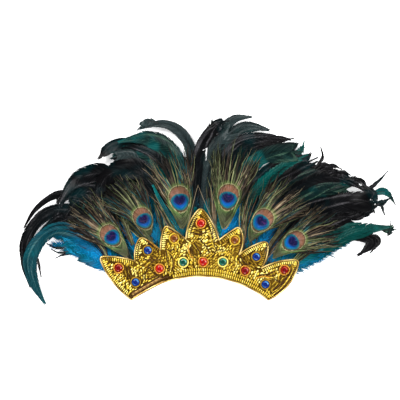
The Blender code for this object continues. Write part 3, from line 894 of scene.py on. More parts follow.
# Soft blue barbs at the foot of the feathers: each tuft's middle line runs from a through b
# to c in plan units; left, right are its barbs' lengths in mm; teal is 0 to 1
TUFT_COLUMNS = "name ax ay bx by cx cy left right count teal height"
TUFTS = (
    ("far_left", -92, 0, -118, 24, -150, 30, 20, 27, 900, 0.05, 3),
    ("far_left_low", -93, -7, -108, 4.5, -132, 12, 16, 17, 420, 0.15, 2),
    ("far_left_edge", -112, 9, -132, 15, -150, 17, 14, 15, 260, 0.2, 1.5),
    ("left_1", -92, 2, -104, 22, -122, 36, 20, 20, 360, 0.5, 3),
    ("left_2", -78, 8, -83, 28, -90, 46, 18, 20, 300, 0.25, 4),
    ("left_3", -66, 14, -72, 34, -78, 50, 18, 18, 300, 0.3, 4),
    ("left_4", -56, 18, -62, 36, -66, 54, 16, 16, 240, 0.9, 4),
    ("left_5", -44, 24, -48, 42, -54, 66, 18, 16, 340, 0.5, 4),
    ("left_6", -30, 26, -34, 46, -42, 74, 17, 16, 340, 0.8, 4),
    ("left_7", -20, 26, -24, 46, -32, 66, 15, 14, 260, 0.75, 4),
    ("left_8", -14, 34, -13, 50, -13, 64, 13, 12, 200, 0.9, 4),
    ("mid", 2, 48, 2, 62, 1, 74, 18, 18, 240, 0.9, 3),
    ("right_1", 16, 32, 17, 48, 18, 64, 13, 13, 220, 0.7, 4),
    ("right_2", 28, 22, 34, 38, 40, 54, 17, 17, 320, 0.0, 4),
    ("right_3", 42, 20, 46, 34, 50, 48, 16, 16, 220, 0.7, 4),
    ("right_4", 56, 10, 66, 24, 80, 40, 18, 18, 360, 0.05, 4),
    ("right_5", 72, 4, 82, 16, 92, 26, 18, 18, 300, 0.5, 4),
    ("right_6", 84, -2, 98, 8, 112, 16, 18, 18, 300, 0.7, 3),
    ("far_right", 92, -4, 114, 4, 148, 22, 20, 18, 620, 0.6, 2.5),
    ("far_right_low", 94, -6.5, 106, -2, 124, 8, 16, 16, 300, 0.65, 2),
)
DOWN_STEPS = 9
DOWN_FLOOR = 1.0
DOWN_INWARD = 9.0
DOWN_LAST = 0.93
DOWN_LENGTHS = (0.45, 1.3)
DOWN_LEAN = (6, 44)
DOWN_CURL = 0.4
DOWN_WAVE = 1.4
DOWN_SPREAD = 1.2
DOWN_HALF = (0.35, 0.8)
DOWN_RISE = (0.1, 0.4)


def build_down():
    """Tufts of down: wavy barbs to both sides of a middle line."""
    down = down_material()
    steps = DOWN_STEPS
    along = np.linspace(0, 1, steps)
    for number, tuft in enumerate(rows(TUFT_COLUMNS, TUFTS)):
        rng = np.random.default_rng(500 + number)
        count = tuft["count"]
        start, middle, end = plan_points(tuft)
        middle_line = spline([start + DOWN_INWARD * unit(start - middle), middle, end], 60)
        ahead, left = directions(middle_line)
        share = rng.uniform(0, DOWN_LAST, count)
        sign = np.where(rng.uniform(0, 1, count) < 0.5, 1.0, -1.0)
        size = np.where(sign > 0, tuft["left"], tuft["right"]) * rng.uniform(*DOWN_LENGTHS, count)
        size = size * (1.0 - 0.55 * share**3)
        lean = np.radians(rng.uniform(*DOWN_LEAN, count))
        angle = lean[:, None] * (1.0 - 0.35 * along) + random_walks(rng, count, steps, DOWN_CURL)
        step = size[:, None] / (steps - 1)
        run = np.cumsum(np.cos(angle) * step, axis=1)
        out = np.cumsum(np.sin(angle) * step, axis=1) * sign[:, None]
        point = at(middle_line, share)[:, None] + rng.normal(0, 1.0, (count, 1, 2))
        point = point + run[..., None] * at(ahead, share)[:, None]
        point = point + out[..., None] * at(left, share)[:, None]
        risen = smooth(share, *DOWN_RISE)[:, None]
        height = QUILL_Z + (tuft["height"] - QUILL_Z) * risen
        height = height + rng.uniform(-DOWN_SPREAD, DOWN_SPREAD, (count, 1))
        height = height + random_walks(rng, count, steps, DOWN_WAVE) * risen
        lines = raised(point, np.maximum(height, DOWN_FLOOR))
        across = unit(np.cross(np.gradient(lines, axis=1), UP + rng.normal(0, 0.3, (count, 1, 3))))
        half = rng.uniform(*DOWN_HALF, (count, 1)) * (1.0 - 0.85 * along**2)
        tone = rng.beta(3.0, 2.4, count)
        teal = np.clip(tuft["teal"] + rng.normal(0, 0.2, count) + 0.25 * share, 0, 1)
        sheaf = Sheaf()
        sheaf.strips(lines, across, half, joined(along, teal[:, None], tone[:, None]))
        sheaf.build("down_" + tuft["name"], (down,))


def eye_run(feather):
    """A peacock feather's root, the middle of its eye, and how far apart they are."""
    root = np.array(root_point(feather["root"]))
    middle = np.array((feather["u"], feather["v"])) * PLAN_UNIT
    return root, middle, np.linalg.norm(middle - root)


def eye_place(feather, x, y):
    """Plan points and heights, from millimetres ahead of and beside the eye's middle."""
    turn = radians(feather["heading"])
    heading = np.array((cos(turn), sin(turn)))
    root, middle, reach = eye_run(feather)
    handle = middle - heading * reach * 0.5
    t = np.minimum(1.0 + x / reach, 1.0)[..., None]
    tangent = unit(2 * (1 - t) * (handle - root) + 2 * t * (middle - handle))
    point = bow(root, handle, middle, t) + tangent * np.maximum(x, 0.0)[..., None]
    top = EYE_RISE + EYE_LEVEL * feather["level"]
    rise = top * smooth(x, -feather["exit"], EYE_RISE_RUN - feather["exit"])
    rise = rise + EYE_TIP_RISE * smooth(x, EYE_TIP_FROM, FAN_REACH)
    return point + left_of(tangent) * y[..., None], QUILL_Z + rise


# Groups of peacock barbs from the foot to the tip: where on the shaft they start, in mm from
# the middle of the eye, their angles there and at their ends, their lengths, the run over
# which they bend, and the share that reaches past the eye
BARB_COLUMNS = (
    "start_low start_high clumps begin_low begin_high finish_low finish_high"
    " span_low span_high bend long"
)
BARBS = (
    (-62, -40, 26, 34, 38, 2, 6, 108, 102, 34, 0.95),
    (-40, -22, 30, 44, 54, 4, 9, 96, 92, 24, 0.85),
    (-22, -8, 30, 50, 58, 9, 17, 88, 84, 20, 0.65),
    (-8, 4, 28, 58, 40, 19, 11, 82, 80, 20, 0.7),
    (4, 9, 14, 36, 6, 10, 0, 78, 80, 20, 0.8),
)
CLUMP = 3
STRAND_STEPS = 19
STRAND_TOP = 40.0
STRAND_HALF = 0.62
STRAND_LENGTHS = (0.72, 1.06)
STRAND_AREA = 0.15
STRAND_NOISE = {"lean": 6.0, "arch": 9.0, "length": 0.02, "out": 2.6, "height": 4.0, "tilt": 0.25,
                "pick": 0.12, "tone": 0.006}
STRANDS_BELOW = 0.22
# The eye's oval in millimetres ahead, behind and to each side of its middle; a close barb ends
# just outside it, at least EYE_LEAST from the shaft; a long one is loose further out
EYE_AHEAD = 30.0
EYE_BEHIND = 42.0
EYE_SIDE = 21.0
EYE_EDGE = (1.02, 1.3)
EYE_LEAST = 12.0
LOOSE_FROM = 24.0
LOOSE_TO = 62.0
GATHERED = 0.9
EYE_SHAFT_END = 8.0
EYE_SHAFT_WIDE = 0.8
EYE_SHAFT_THIN = 0.25
# How many of a feather's loose strands are brown and how many green, the rest being teal,
# and how far in degrees they lean to the left; then where along the shaft each side is bare
# up to, in millimetres from the middle of the eye, but for every third clump
FRINGE_COLUMNS = "name brown green lean bare_left bare_right"
FRINGES = (
    ("left_1", 0.75, 0.2, 7, -70, -70),
    ("left_2", 0.3, 0.4, 17, -70, -30),
    ("left_3", 0.65, 0.3, 12, -26, -70),
    ("right_1", 0.3, 0.7, -3, -70, -20),
    ("right_2", 0.55, 0.38, -11, -45, -70),
    ("right_3", 0.4, 0.42, -6, -70, -70),
)


def strand_tones(pick, brown, green, shade):
    """Tones of strands in the material's brown, green or teal, by a pick from 0 to 1."""
    dyed = np.where(pick < brown + green, 0.5 + 0.36 * shade, 0.9 + 0.1 * shade)
    return np.where(pick < brown, 0.45 * shade, dyed)


def clump_tones(rng, fringe, clump, below):
    """Tones that run in slow bands from clump to clump; the strands below are dark."""
    clumps = clump[-1] + 1
    knots = max(2, clumps // 3)
    band = np.interp(np.linspace(0, 1, clumps), np.linspace(0, 1, knots), rng.uniform(0, 1, knots))
    pick = np.clip(0.5 + (band - 0.5) * 1.5 + rng.normal(0, STRAND_NOISE["pick"], clumps), 0, 0.999)
    shade = rng.uniform(0, 1, clumps) ** 1.15
    tone = strand_tones(pick, fringe["brown"], fringe["green"], shade)[clump]
    tone = np.where(below, 0.14 * shade[clump], tone)
    return np.clip(tone + rng.normal(0, STRAND_NOISE["tone"], len(clump)), 0, 1)


def add_strands(sheaf, feather, fringe, group, side, rng):
    """One group's barbs on one side: close ones end at the eye's edge, long ones are loose."""
    size = feather["size"]
    steps = STRAND_STEPS
    along = np.linspace(0, 1, steps)
    clumps = group["clumps"]
    count = clumps * CLUMP
    clump = np.repeat(np.arange(clumps), CLUMP)
    rank = (np.arange(count) + rng.uniform(0.2, 0.8, count)) / count

    def between(name):
        return group[name + "_low"] + (group[name + "_high"] - group[name + "_low"]) * rank

    start = np.maximum(between("start") * size, 4.0 - feather["exit"] + rng.uniform(-4, 4, clumps)[clump])
    begin = between("begin")
    finish = between("finish")
    lean = rng.normal(0, STRAND_NOISE["lean"], clumps)[clump]
    arch = rng.normal(0, STRAND_NOISE["arch"], clumps)[clump]
    below = (rng.uniform(0, 1, clumps) < STRANDS_BELOW)[clump]
    is_long = (rng.uniform(0, 1, clumps) < group["long"])[clump]
    stretch = rng.uniform(*STRAND_LENGTHS, clumps)[clump]
    stretch = stretch + rng.normal(0, STRAND_NOISE["length"], count)

    def path(span):
        run = span[:, None] * along
        bend = np.exp(-run / (group["bend"] * size))
        drift = lean[:, None] * smooth(run, 14, 60) + arch[:, None] * smooth(run, 30, 110)
        drift = drift + side * fringe["lean"] * smooth(run, 16, 62)
        angle = np.radians(finish[:, None] + (begin - finish)[:, None] * bend + drift)
        step = span[:, None] / (steps - 1)
        ahead = np.cumsum(np.cos(angle) * step, axis=1)
        out = np.cumsum(np.sin(angle) * step, axis=1)
        return run, ahead - ahead[:, :1] + start[:, None], out - out[:, :1]

    span = between("span") * stretch * size
    run, ahead, out = path(span)
    lengthwise = ahead / np.where(ahead > 0, EYE_AHEAD, EYE_BEHIND) / size
    halo = np.hypot(lengthwise, out / (EYE_SIDE * size))
    beyond = (halo > rng.uniform(*EYE_EDGE, (count, 1))) & (run > EYE_LEAST)
    first = np.where(beyond.any(axis=1), np.argmax(beyond, axis=1), steps - 1)
    run, ahead, out = path(np.where(is_long, span, run[np.arange(count), first]))
    loose = smooth(run, LOOSE_FROM * size, LOOSE_TO * size) * is_long[:, None]
    for values in (ahead, out):
        middle = values.reshape(clumps, CLUMP, steps).mean(axis=1)
        values += (middle[clump] - values) * GATHERED * loose
    out += random_walks(rng, clumps, steps, STRAND_NOISE["out"])[clump] * loose
    point, height = eye_place(feather, ahead, side * out)
    lift = random_walks(rng, clumps, steps, STRAND_NOISE["height"])[clump] * loose
    lift = lift - 0.003 * out**2 * loose
    base = 0.5 + rng.uniform(0, 0.4, (count, 1)) + (0.5 - 0.9 * below[:, None]) * is_long[:, None]
    lines = raised(point, np.clip(height + base + lift, 1.0, STRAND_TOP))
    across = ribbon_sides(lines, rng.normal(0, STRAND_NOISE["tilt"], (count, 1)))
    half = STRAND_HALF * (1.0 + (1.6 * below[:, None] - 0.46) * loose) * (1.0 - 0.8 * along**8)
    tone = clump_tones(rng, fringe, clump, below)
    spots = joined(ahead / size, out * side / size, tone[:, None])
    bare = fringe["bare_left"] if side > 0 else fringe["bare_right"]
    kept = (start > bare * size) | (clump % 3 == 0)
    sheaf.strips(lines[kept], across[kept], half[kept], spots[kept], STRAND_AREA)


def add_eye(sheaf, feather, rng):
    """One peacock feather: its shaft, and the groups of barbs on both sides."""
    reach = eye_run(feather)[2]
    x = np.linspace(-reach, EYE_SHAFT_END, 40)
    point, height = eye_place(feather, x, np.zeros_like(x))
    radius = np.interp(x, (-reach, -20, EYE_SHAFT_END), (EYE_SHAFT_WIDE, 0.6, EYE_SHAFT_THIN))
    spots = joined(smooth(x, -reach, 30) * 0.45, 0.0, SHAFT_TONE)
    sheaf.tube(raised(point, height + 0.3), radius, SHAFT_SIDES, spots, slot=1, area=SHAFT_AREA)
    fringe = {row["name"]: row for row in rows(FRINGE_COLUMNS, FRINGES)}[feather["name"]]
    for group in rows(BARB_COLUMNS, BARBS):
        for side in (-1, 1):
            add_strands(sheaf, feather, fringe, group, side, rng)


# More of the bed's feathers, between and under the modelled ones, none of them lifted
UNDER = (
    ("left_1", -29.6, -98, 42, -128, 46, -156, 28, -171, -2, 18, 0.4, 0.75, 0.4),
    ("left_2", -26.0, -84, 58, -112, 73, -130, 68, -139, 55, 20, 0.38, 0.8, 1.2),
    ("left_3", -24.6, -82, 52, -108, 65, -124, 59, -135, 43, 28, 0.38, 0.8, 0.5),
    ("left_4", -22.5, -62, 66, -84, 80, -104, 74, -117, 52, 28, 0.38, 0.8, 0.8, "green"),
    ("left_5", -20.8, -54, 62, -74, 78, -94, 68, -101, 50, 28, 0.38, 0.8, 0.4),
    ("left_6", -17.0, -38, 70, -58, 95, -78, 99, -96, 90, 20, 0.4, 0.8, 0.8),
    ("left_7", -14.5, -30, 82, -50, 104, -74, 110, -88, 106, 18, 0.4, 0.8, 0.3, "green"),
    ("left_8", -10.0, -22, 84, -36, 108, -56, 120, -78, 116, 22, 0.4, 0.8, 1.0, "green"),
    ("mid_1", 0.4, 1, 82, 6, 104, 15, 120, 22, 130, 16, 0.4, 0.8, 1.0),
    ("mid_2", 3.0, 10, 84, 20, 108, 36, 122, 56, 126, 17, 0.4, 0.8, 1.0),
    ("right_1", 8.0, 24, 84, 40, 105, 62, 117, 84, 118, 22, 0.4, 0.8, 0.8),
    ("right_2", 10.4, 31, 76, 48, 98, 70, 112, 94, 115, 22, 0.4, 0.8, 0.3),
    ("right_3", 13.6, 40, 66, 57, 88, 80, 103, 103, 106, 22, 0.4, 0.8, 0.9),
    ("right_4", 17.0, 52, 58, 70, 78, 92, 92, 114, 98, 22, 0.4, 0.8, 0.4),
    ("right_5", 20.0, 60, 54, 82, 75, 105, 87, 128, 94, 22, 0.4, 0.8, 0.8, "green"),
    ("right_6", 22.4, 64, 50, 92, 73, 118, 85, 144, 86, 22, 0.4, 0.8, 0.2),
    ("right_7", 25.4, 76, 46, 106, 67, 128, 76, 142, 79, 18, 0.4, 0.8, 0.8, "green"),
    ("right_8", 27.2, 80, 42, 110, 60, 134, 64, 158, 60, 18, 0.4, 0.8, 0.5, "green"),
    ("right_9", 30.0, 90, 29, 118, 41, 140, 48, 164, 52, 22, 0.4, 0.8, 0.3),
    ("right_10", 31.0, 94, 22, 121, 34, 141, 42, 158, 47, 18, 0.4, 0.8, 0.6),
    ("right_11", 32.0, 97, 8, 122, 24, 144, 35, 161, 39, 18, 0.38, 0.7, 0.2, "sea"),
    ("right_13", 12.6, 38, 70, 58, 92, 84, 106, 106, 115, 26, 0.4, 0.97, 0.6, "green"),
    ("right_14", 16.0, 50, 62, 68, 84, 90, 99, 109, 108, 24, 0.4, 0.97, 0.9, "sea"),
    ("right_12", 18.5, 60, 57, 82, 80, 103, 97, 119, 105, 24, 0.4, 0.95, 1.0),
    ("left_9", -29.0, -92, 24, -104, 38, -114, 46, -128, 50, 28, 0.3, 0.85, 0.2),
    ("left_11", -28.4, -92, 32, -110, 44, -130, 46, -150, 40, 24, 0.3, 0.9, 0.1),
    ("left_12", -22.0, -62, 54, -74, 66, -84, 70, -94, 68, 30, 0.3, 0.9, 0.1),
    ("left_10", -27.0, -84, 38, -100, 52, -112, 58, -126, 62, 28, 0.3, 0.85, 0.6),
)
# Smooth dyed feathers between the peacock eyes, at one height and full up to SATIN_FULL_TO
SATIN = (
    ("teal_1", -12.0, -17, 27, -27, 48, -38, 68, -54, 88, 12, 0.45),
    ("teal_2", -14.0, -20, 24, -33, 42, -44, 58, -56, 77, 14, 0.45),
    ("teal_3", -16.0, -36, 30, -40, 46, -44, 60, -50, 78, 13, 0.45),
    ("teal_4", -8.0, -10, 34, -8, 52, -7, 66, -10, 84, 14, 0.45),
    ("teal_5", 4.0, 12, 34, 9, 52, 7, 66, 4, 84, 14, 0.45),
    ("blue_1", -24.0, -64, 6, -66, 22, -72, 38, -80, 56, 15, 0.45),
    ("blue_2", -21.0, -58, 20, -60, 32, -64, 44, -68, 58, 13, 0.45),
    ("blue_9", -34.0, -94, -4, -104, 0, -114, 4, -128, 11, 20, 0.4),
    ("blue_3", -32.0, -98, 8, -112, 22, -126, 32, -142, 38, 24, 0.4),
    ("blue_4", -34.0, -96, -2, -112, 8, -128, 14, -147, 18, 22, 0.4),
    ("blue_8", -33.0, -97, 6, -114, 19, -134, 27, -158, 27, 20, 0.4),
    ("blue_7", -33.0, -97, 3, -112, 15, -128, 23, -149, 28, 24, 0.4),
    ("blue_5", 7.5, 22, 26, 30, 42, 38, 60, 48, 80, 17, 0.45),
    ("blue_6", 24.0, 63, -2, 70, 14, 78, 28, 88, 42, 17, 0.45),
    ("teal_6", 33.0, 97, 1.5, 112, 10, 128, 18, 146, 25, 20, 0.4),
    ("teal_8", 7.0, 19, 24, 18.5, 34, 18, 46, 16, 62, 16, 0.25),
    ("teal_7", 14.0, 42, 24, 48, 38, 56, 52, 68, 68, 14, 0.45),
)
SATIN_FULL_TO = 0.8
SATIN_HEIGHT = 5.0
# A pad of dyed feathers round the roots
PAD_TURNS = np.linspace(-33.5, 32.5, 15)
PAD_REACH = 78.0
PAD = {"width": 30, "full_from": 0.2, "full_to": 0.5, "flat": 3.2}
# Colours of the cock's tail feathers: at the foot, middle and tip, of the painted sheen and of the painted
# highlight
LOOK_COLUMNS = "name base middle tip sheen gloss"
LOOKS = (
    ("black", (0.0, 0.05, 0.08), (0.002, 0.004, 0.005), (0.002, 0.002, 0.0025),
     (0.0, 0.012, 0.014), (0.065, 0.063, 0.068)),
    ("slate", (0.0, 0.03, 0.04), (0.012, 0.021, 0.023), (0.020, 0.030, 0.031),
     (0.006, 0.024, 0.024), (0.085, 0.1, 0.1)),
    ("green", (0.0, 0.08, 0.11), (0.001, 0.014, 0.014), (0.002, 0.010, 0.010),
     (0.0, 0.075, 0.075), (0.045, 0.095, 0.065)),
    ("teal", (0.0, 0.14, 0.28), (0.004, 0.057, 0.08), (0.003, 0.035, 0.045),
     (0.0, 0.085, 0.1), (0.06, 0.15, 0.155)),
    ("sea", (0.0, 0.13, 0.17), (0.0, 0.055, 0.05), (0.001, 0.04, 0.035),
     (0.0, 0.09, 0.08), (0.04, 0.12, 0.1)),
    ("satin_blue", (0.0, 0.17, 0.42), (0.0, 0.15, 0.37), (0.0, 0.065, 0.1),
     (0.0, 0.1, 0.18), (0.01, 0.26, 0.48)),
    ("satin_teal", (0.0, 0.11, 0.16), (0.0, 0.09, 0.12), (0.0, 0.05, 0.06),
     (0.0, 0.12, 0.11), (0.03, 0.22, 0.24)),
)
# Bunches of loose peacock barbs between the eyes, and how many are brown; then single bare stems
BUNCH_COLUMNS = "ax ay bx by cx cy spread count brown"
BUNCHES = (
    (-48, 17, -65, 37, -88, 62, 11, 30, 0.2),
    (-67, 17, -73, 32, -82, 57, 7, 20, 0.7),
    (-22, 22, -33, 44, -51, 77, 7, 11, 0.5),
    (-36, 22, -40, 47, -50, 76, 6, 7, 0.3),
    (-14, 25, -10, 57, -13, 87, 5, 16, 0.7),
    (15, 20, 13, 57, 11, 92, 6, 18, 0.6),
    (46, 24, 43, 48, 56, 80, 4, 12, 0.4),
    (42, 10, 44, 37, 52, 74, 6, 13, 0.6),
    (62, -2, 76, 22, 101, 48, 9, 24, 0.5),
    (88, -5, 110, 12, 136, 28, 6, 14, 0.3),
    (-92, 0, -104, 20, -124, 34, 7, 18, 0.7),
)
STEM_COLUMNS = "ax ay bx by cx cy"
STEMS = (
    (-2, 77, 8, 52, 19, 27),
    (-2, 77, -6, 62, -10, 45),
    (-53, 68, -29, 45, -16, 23),
    (138, 70, 141, 62, 144, 54),
)
STEM_HEIGHT = 17.0
STEM_STEPS = 24
STEM_TONE = 0.43
# Ahead of and beside an eye, in millimetres, where none of its rings reaches
OFF_EYE = (46.0, 60.0)
# Small curls, spikes and broken tips: start, middle, end in plan units, width and height in mm
SPRIG_COLUMNS = "name ax ay bx by cx cy width full_to flat look"
SPRIGS = (
    ("curl_top", 74, 121, 84, 121.5, 93, 123.5, 5, 0.45, 18),
    ("tip_mid_1", 8, 122, 13, 131, 18, 139, 21, 0.95, 24),
    ("cap_fill", 11, 127, 17, 133, 24, 138, 13, 0.85, 24),
    ("fill_spike", 106, 88, 115, 93, 125, 92, 11, 0.7, 14),
    ("cap_mid", 9, 134, 17, 139, 28, 140.5, 10, 0.6, 24.5),
    ("tip_mid_2", 12, 104, 22, 121, 36, 134.5, 23, 0.93, 21, "slate"),
    ("spike_top", 114, 94, 122, 104, 120.5, 114, 5, 0.45, 20),
    ("fill_right_1", 122, 77, 136, 80, 149, 75.5, 15, 0.6, 12, "green"),
    ("fill_right_2", 128, 70, 140, 72, 151, 69.5, 11, 0.6, 12, "green"),
    ("mass_right_6", 136, 37, 155, 45.5, 176, 57, 16, 0.85, 14),
    ("mass_right_7", 150, 47, 163, 52, 177, 61, 14, 0.85, 16),
    ("blade_teal", -17, 26, -37, 57, -56, 97, 6.5, 0.3, 18, "satin_teal"),
    ("wisp_blue", -17, 82, -20, 93, -26, 103, 7, 0.6, 20, "satin_blue"),
    ("notch_top", 96, 108, 102, 114, 104, 120, 9, 0.45, 11, "sea"),
    ("tuft_right_1", 116, 92, 124, 97, 133, 95, 9, 0.45, 15),
    ("tuft_right_2", 124, 90, 132, 96, 141, 93, 8, 0.45, 14),
    ("tuft_right_3", 134, 84, 143, 90, 150, 87, 7, 0.45, 13),
    ("tuft_right_4", 118, 88, 127, 92, 136, 88, 10, 0.6, 15),
    ("tuft_right_5", 127, 84, 136, 88, 145, 83, 9, 0.6, 15),
    ("wisp_right_1", 102, 78, 115, 85, 128, 82, 8, 0.6, 13, "green"),
    ("wisp_right_2", 108, 71, 121, 79, 135, 75, 8, 0.6, 13, "green"),
    ("wisp_right_3", 92, 70, 106, 76, 120, 76, 7, 0.6, 13, "green"),
    ("mass_right_1", 158, 76, 167, 72, 172, 59, 10, 0.7, 16),
    ("lobe_left", -58, 101, -75, 107, -89.5, 103.5, 19, 0.9, 17, "slate"),
    ("lobe_left_low", -60, 95, -75, 101, -89, 98.5, 15, 0.9, 16),
    ("mass_right_8", 146, 83, 158, 82, 168, 73, 9, 0.6, 17),
    ("mass_right_2", 164, 76, 173, 69, 176, 56, 8, 0.7, 17),
    ("mass_right_3", 156, 66, 165, 61, 169, 50, 10, 0.7, 15),
    ("mass_right_4", 169, 62, 173, 56, 174, 50, 7, 0.6, 15),
    ("mass_right_5", 161, 58, 166, 53, 165, 47, 6, 0.6, 14),
    ("spike_right", 163.5, 69, 176.5, 79.2, 187.5, 90.5, 6, 0.35, 14),
    ("hook_green", 170, 66, 183.5, 70.7, 195, 57.5, 11, 0.45, 13, "green"),
    ("stub_right", 174, 56, 183, 60, 191, 64, 9, 0.45, 17),
    ("barb_right", 179, 60, 182, 54, 184, 48, 5, 0.45, 16),
    ("knot_right", 187, 26, 189.5, 32, 189.5, 40.5, 11, 0.6, 19, "green"),
    ("knot_right_2", 180, 32, 188, 32, 195.5, 33, 9, 0.6, 19, "green"),
    ("curl_inner", 166, 28, 178, 22, 170, 9, 9, 0.45, 12),
    ("strand_left", -164, 8, -161, -3, -159, -14, 3.5, 0.45, 12),
    ("strand_low_1", -136, 14, -144, 14, -153, 18, 3, 0.45, 4),
    ("strand_low_2", -132, 11, -140, 9, -148, 12, 3, 0.45, 4),
    ("strand_low_3", -128, 8, -137, 7, -144, 4, 3, 0.45, 3),
    ("tip_arch", -42, 139, -52, 140, -62, 132.5, 11, 0.7, 14, "slate"),
    ("tuft_left", -136, 64, -141, 62, -140, 55, 6, 0.45, 24),
)
SPRIG_FULL_FROM = 0.2
SPRIG_FOOT = 0.6
BUNCH_STEPS = 15
BUNCH_REACH = (0.6, 1.05)
BUNCH_WAVE = 2.2
BUNCH_LOW = 6.5
BUNCH_RISE = 7.0
BUNCH_SPREAD = 1.5
BUNCH_HALF = (0.35, 0.75)


def add_bunch(sheaf, bunch, rng):
    """Loose peacock barbs that start together and spread."""
    count = bunch["count"]
    steps = BUNCH_STEPS
    curve = resample(whole(plan_points(bunch), 40), steps)
    left = directions(curve)[1]
    along = np.linspace(0, 1, steps)
    reach = rng.uniform(*BUNCH_REACH, (count, 1))
    aside = rng.uniform(-1, 1, (count, 1)) * bunch["spread"] * PLAN_UNIT * (0.25 + 0.75 * along * reach)
    aside = aside + random_walks(rng, count, steps, BUNCH_WAVE)
    share = along[None] * reach
    point = at(curve, share) + aside[..., None] * at(left, np.minimum(share, 1.0))
    height = BUNCH_LOW + BUNCH_RISE * share + rng.uniform(-BUNCH_SPREAD, BUNCH_SPREAD, (count, 1))
    lines = raised(point, height)
    across = unit(np.cross(np.gradient(lines, axis=1), UP))
    half = rng.uniform(*BUNCH_HALF, (count, 1)) * (1.0 - 0.8 * along**6)
    shade = rng.uniform(0, 1, count) ** 1.4
    tone = strand_tones(rng.uniform(0, 1, count), bunch["brown"], 1.0, shade)
    sheaf.strips(lines, across, half, joined(*OFF_EYE, tone[:, None] * np.ones(steps)))


def sprig_plan(sprig):
    return spline(plan_points(sprig), 60)


def build_coques(prefix, feathers, materials, seed, pitch, plan=coque_plan, replaces=""):
    """A piece for each cock's tail feather, each with a random seed of its own."""
    for number, feather in enumerate(feathers):
        look = feather["look"]
        sheaf = Sheaf()
        add_coque(sheaf, feather, plan(feather), np.random.default_rng(seed + number), pitch)
        taken = replaces and replaces + feather["name"]
        sheaf.build(prefix + feather["name"], (materials[look], materials["quill"]), taken)


def build_feathers():
    materials = {look["name"]: coque_material(**look) for look in rows(LOOK_COLUMNS, LOOKS)}
    quill = quill_material()
    materials["quill"] = quill
    peacock = peacock_material()
    modelled = rows(PATH_COLUMNS + " lift look", COQUES, look="black")
    build_coques("feather_", modelled, materials, 100, pitch=0.8, replaces="coque_")
    for number, feather in enumerate(rows(EYE_COLUMNS, EYES)):
        sheaf = Sheaf()
        add_eye(sheaf, feather, np.random.default_rng(200 + number))
        sheaf.build("eye_" + feather["name"], (peacock, quill), "peacock_" + feather["name"])
    under = rows(PATH_COLUMNS + " look", UNDER, lift=0, look="black")
    build_coques("under_", under, materials, 300, pitch=1.0)
    satin = rows(PATH_COLUMNS, SATIN, full_to=SATIN_FULL_TO, flat=SATIN_HEIGHT)
    for feather in satin:
        feather["look"] = "satin_" + feather["name"][:4]
    build_coques("satin_", satin, materials, 600, pitch=0.9)

    sheaf = Sheaf()
    for number, angle in enumerate(PAD_TURNS):
        start = np.array(root_point(angle))
        ahead = np.array((sin(radians(angle)), cos(radians(angle))))
        reach = PAD_REACH * (1.0 + 0.1 * (-1) ** number)
        plan = spline([start, start + 0.5 * reach * ahead, start + reach * ahead], 60)
        add_coque(sheaf, PAD, plan, np.random.default_rng(700 + number), 1.1)
    sheaf.build("base_pad", (materials["satin_teal"], quill))

    sheaf = Sheaf()
    rng = np.random.default_rng(800)
    for bunch in rows(BUNCH_COLUMNS, BUNCHES):
        add_bunch(sheaf, bunch, rng)
    for stem in rows(STEM_COLUMNS, STEMS):
        curve = resample(whole(plan_points(stem), 30), STEM_STEPS)
        radius = np.linspace(0.28, 0.42, STEM_STEPS)
        sheaf.tube(raised(curve, STEM_HEIGHT), radius, 5, (*OFF_EYE, STEM_TONE), area=0.1)
    sheaf.build("loose_barbs", (peacock,))

    sprigs = rows(SPRIG_COLUMNS, SPRIGS, look="black", full_from=SPRIG_FULL_FROM, foot=SPRIG_FOOT)
    build_coques("", sprigs, materials, 400, pitch=0.7, plan=sprig_plan)


# A piece of bullion; a high power rounds its ends
COIL_RINGS = 6
COIL_SIDES = 6
COIL_RIDGE = 0.16
COIL_END_POWER = 6
COIL_TIP = 0.35


def template_coil():
    """A short tube of wound wire along x, from -0.5 to 0.5, with rounded ends."""
    rings, sides = COIL_RINGS, COIL_SIDES
    x = np.linspace(-0.5, 0.5, rings)
    end = np.sqrt(np.clip(1.0 - np.abs(2 * x) ** COIL_END_POWER, 0.0, 1.0))
    radius = 0.5 * (COIL_TIP + (1 - COIL_TIP) * end) * (1.0 - COIL_RIDGE * (np.arange(rings) % 2))
    angle = 2 * pi * np.arange(sides) / sides
    y = radius[:, None] * np.cos(angle)
    z = radius[:, None] * np.sin(angle)
    points = joined(x[:, None], y, z).reshape(-1, 3)
    i = np.arange(rings - 1)[:, None]
    j = np.arange(sides)[None]
    m = (j + 1) % sides
    faces = joined(i * sides + j, (i + 1) * sides + j, (i + 1) * sides + m, i * sides + m)
    u, v = i / (rings - 1), j / sides
    du, dv = 1.0 / (rings - 1), 1.0 / sides
    uvs = np.stack((joined(u, v), joined(u + du, v), joined(u + du, v + dv), joined(u, v + dv)), axis=2)
    return points, faces.reshape(-1, 4), uvs.reshape(-1, 4, 2)


BAR = template_coil()


def inside(points, outline):
    """Which points lie inside a closed outline."""
    x, y = points.T[:, :, None]
    ax, ay = outline.T[:, None]
    bx, by = np.roll(outline, -1, axis=0).T[:, None]
    crosses = (ay > y) != (by > y)
    with np.errstate(divide="ignore", invalid="ignore"):
        at_x = ax + (y - ay) / (by - ay) * (bx - ax)
    return (np.sum(crosses & (x < at_x), axis=1) % 2) == 1


def edge_distance(points, outline):
    """Distance from points to a closed outline."""
    a = outline[None]
    p = points[:, None]
    along = np.roll(outline, -1, axis=0)[None] - a
    t = np.clip(np.sum((p - a) * along, axis=2) / np.sum(along**2, axis=2), 0, 1)
    return np.min(np.linalg.norm(p - a - t[..., None] * along, axis=2), axis=1)


def nearest(points, centres):
    """The index of the nearest centre to each point, and the distance to it."""
    distance = np.linalg.norm(points[:, None] - centres[None], axis=2)
    return np.argmin(distance, axis=1), np.min(distance, axis=1)


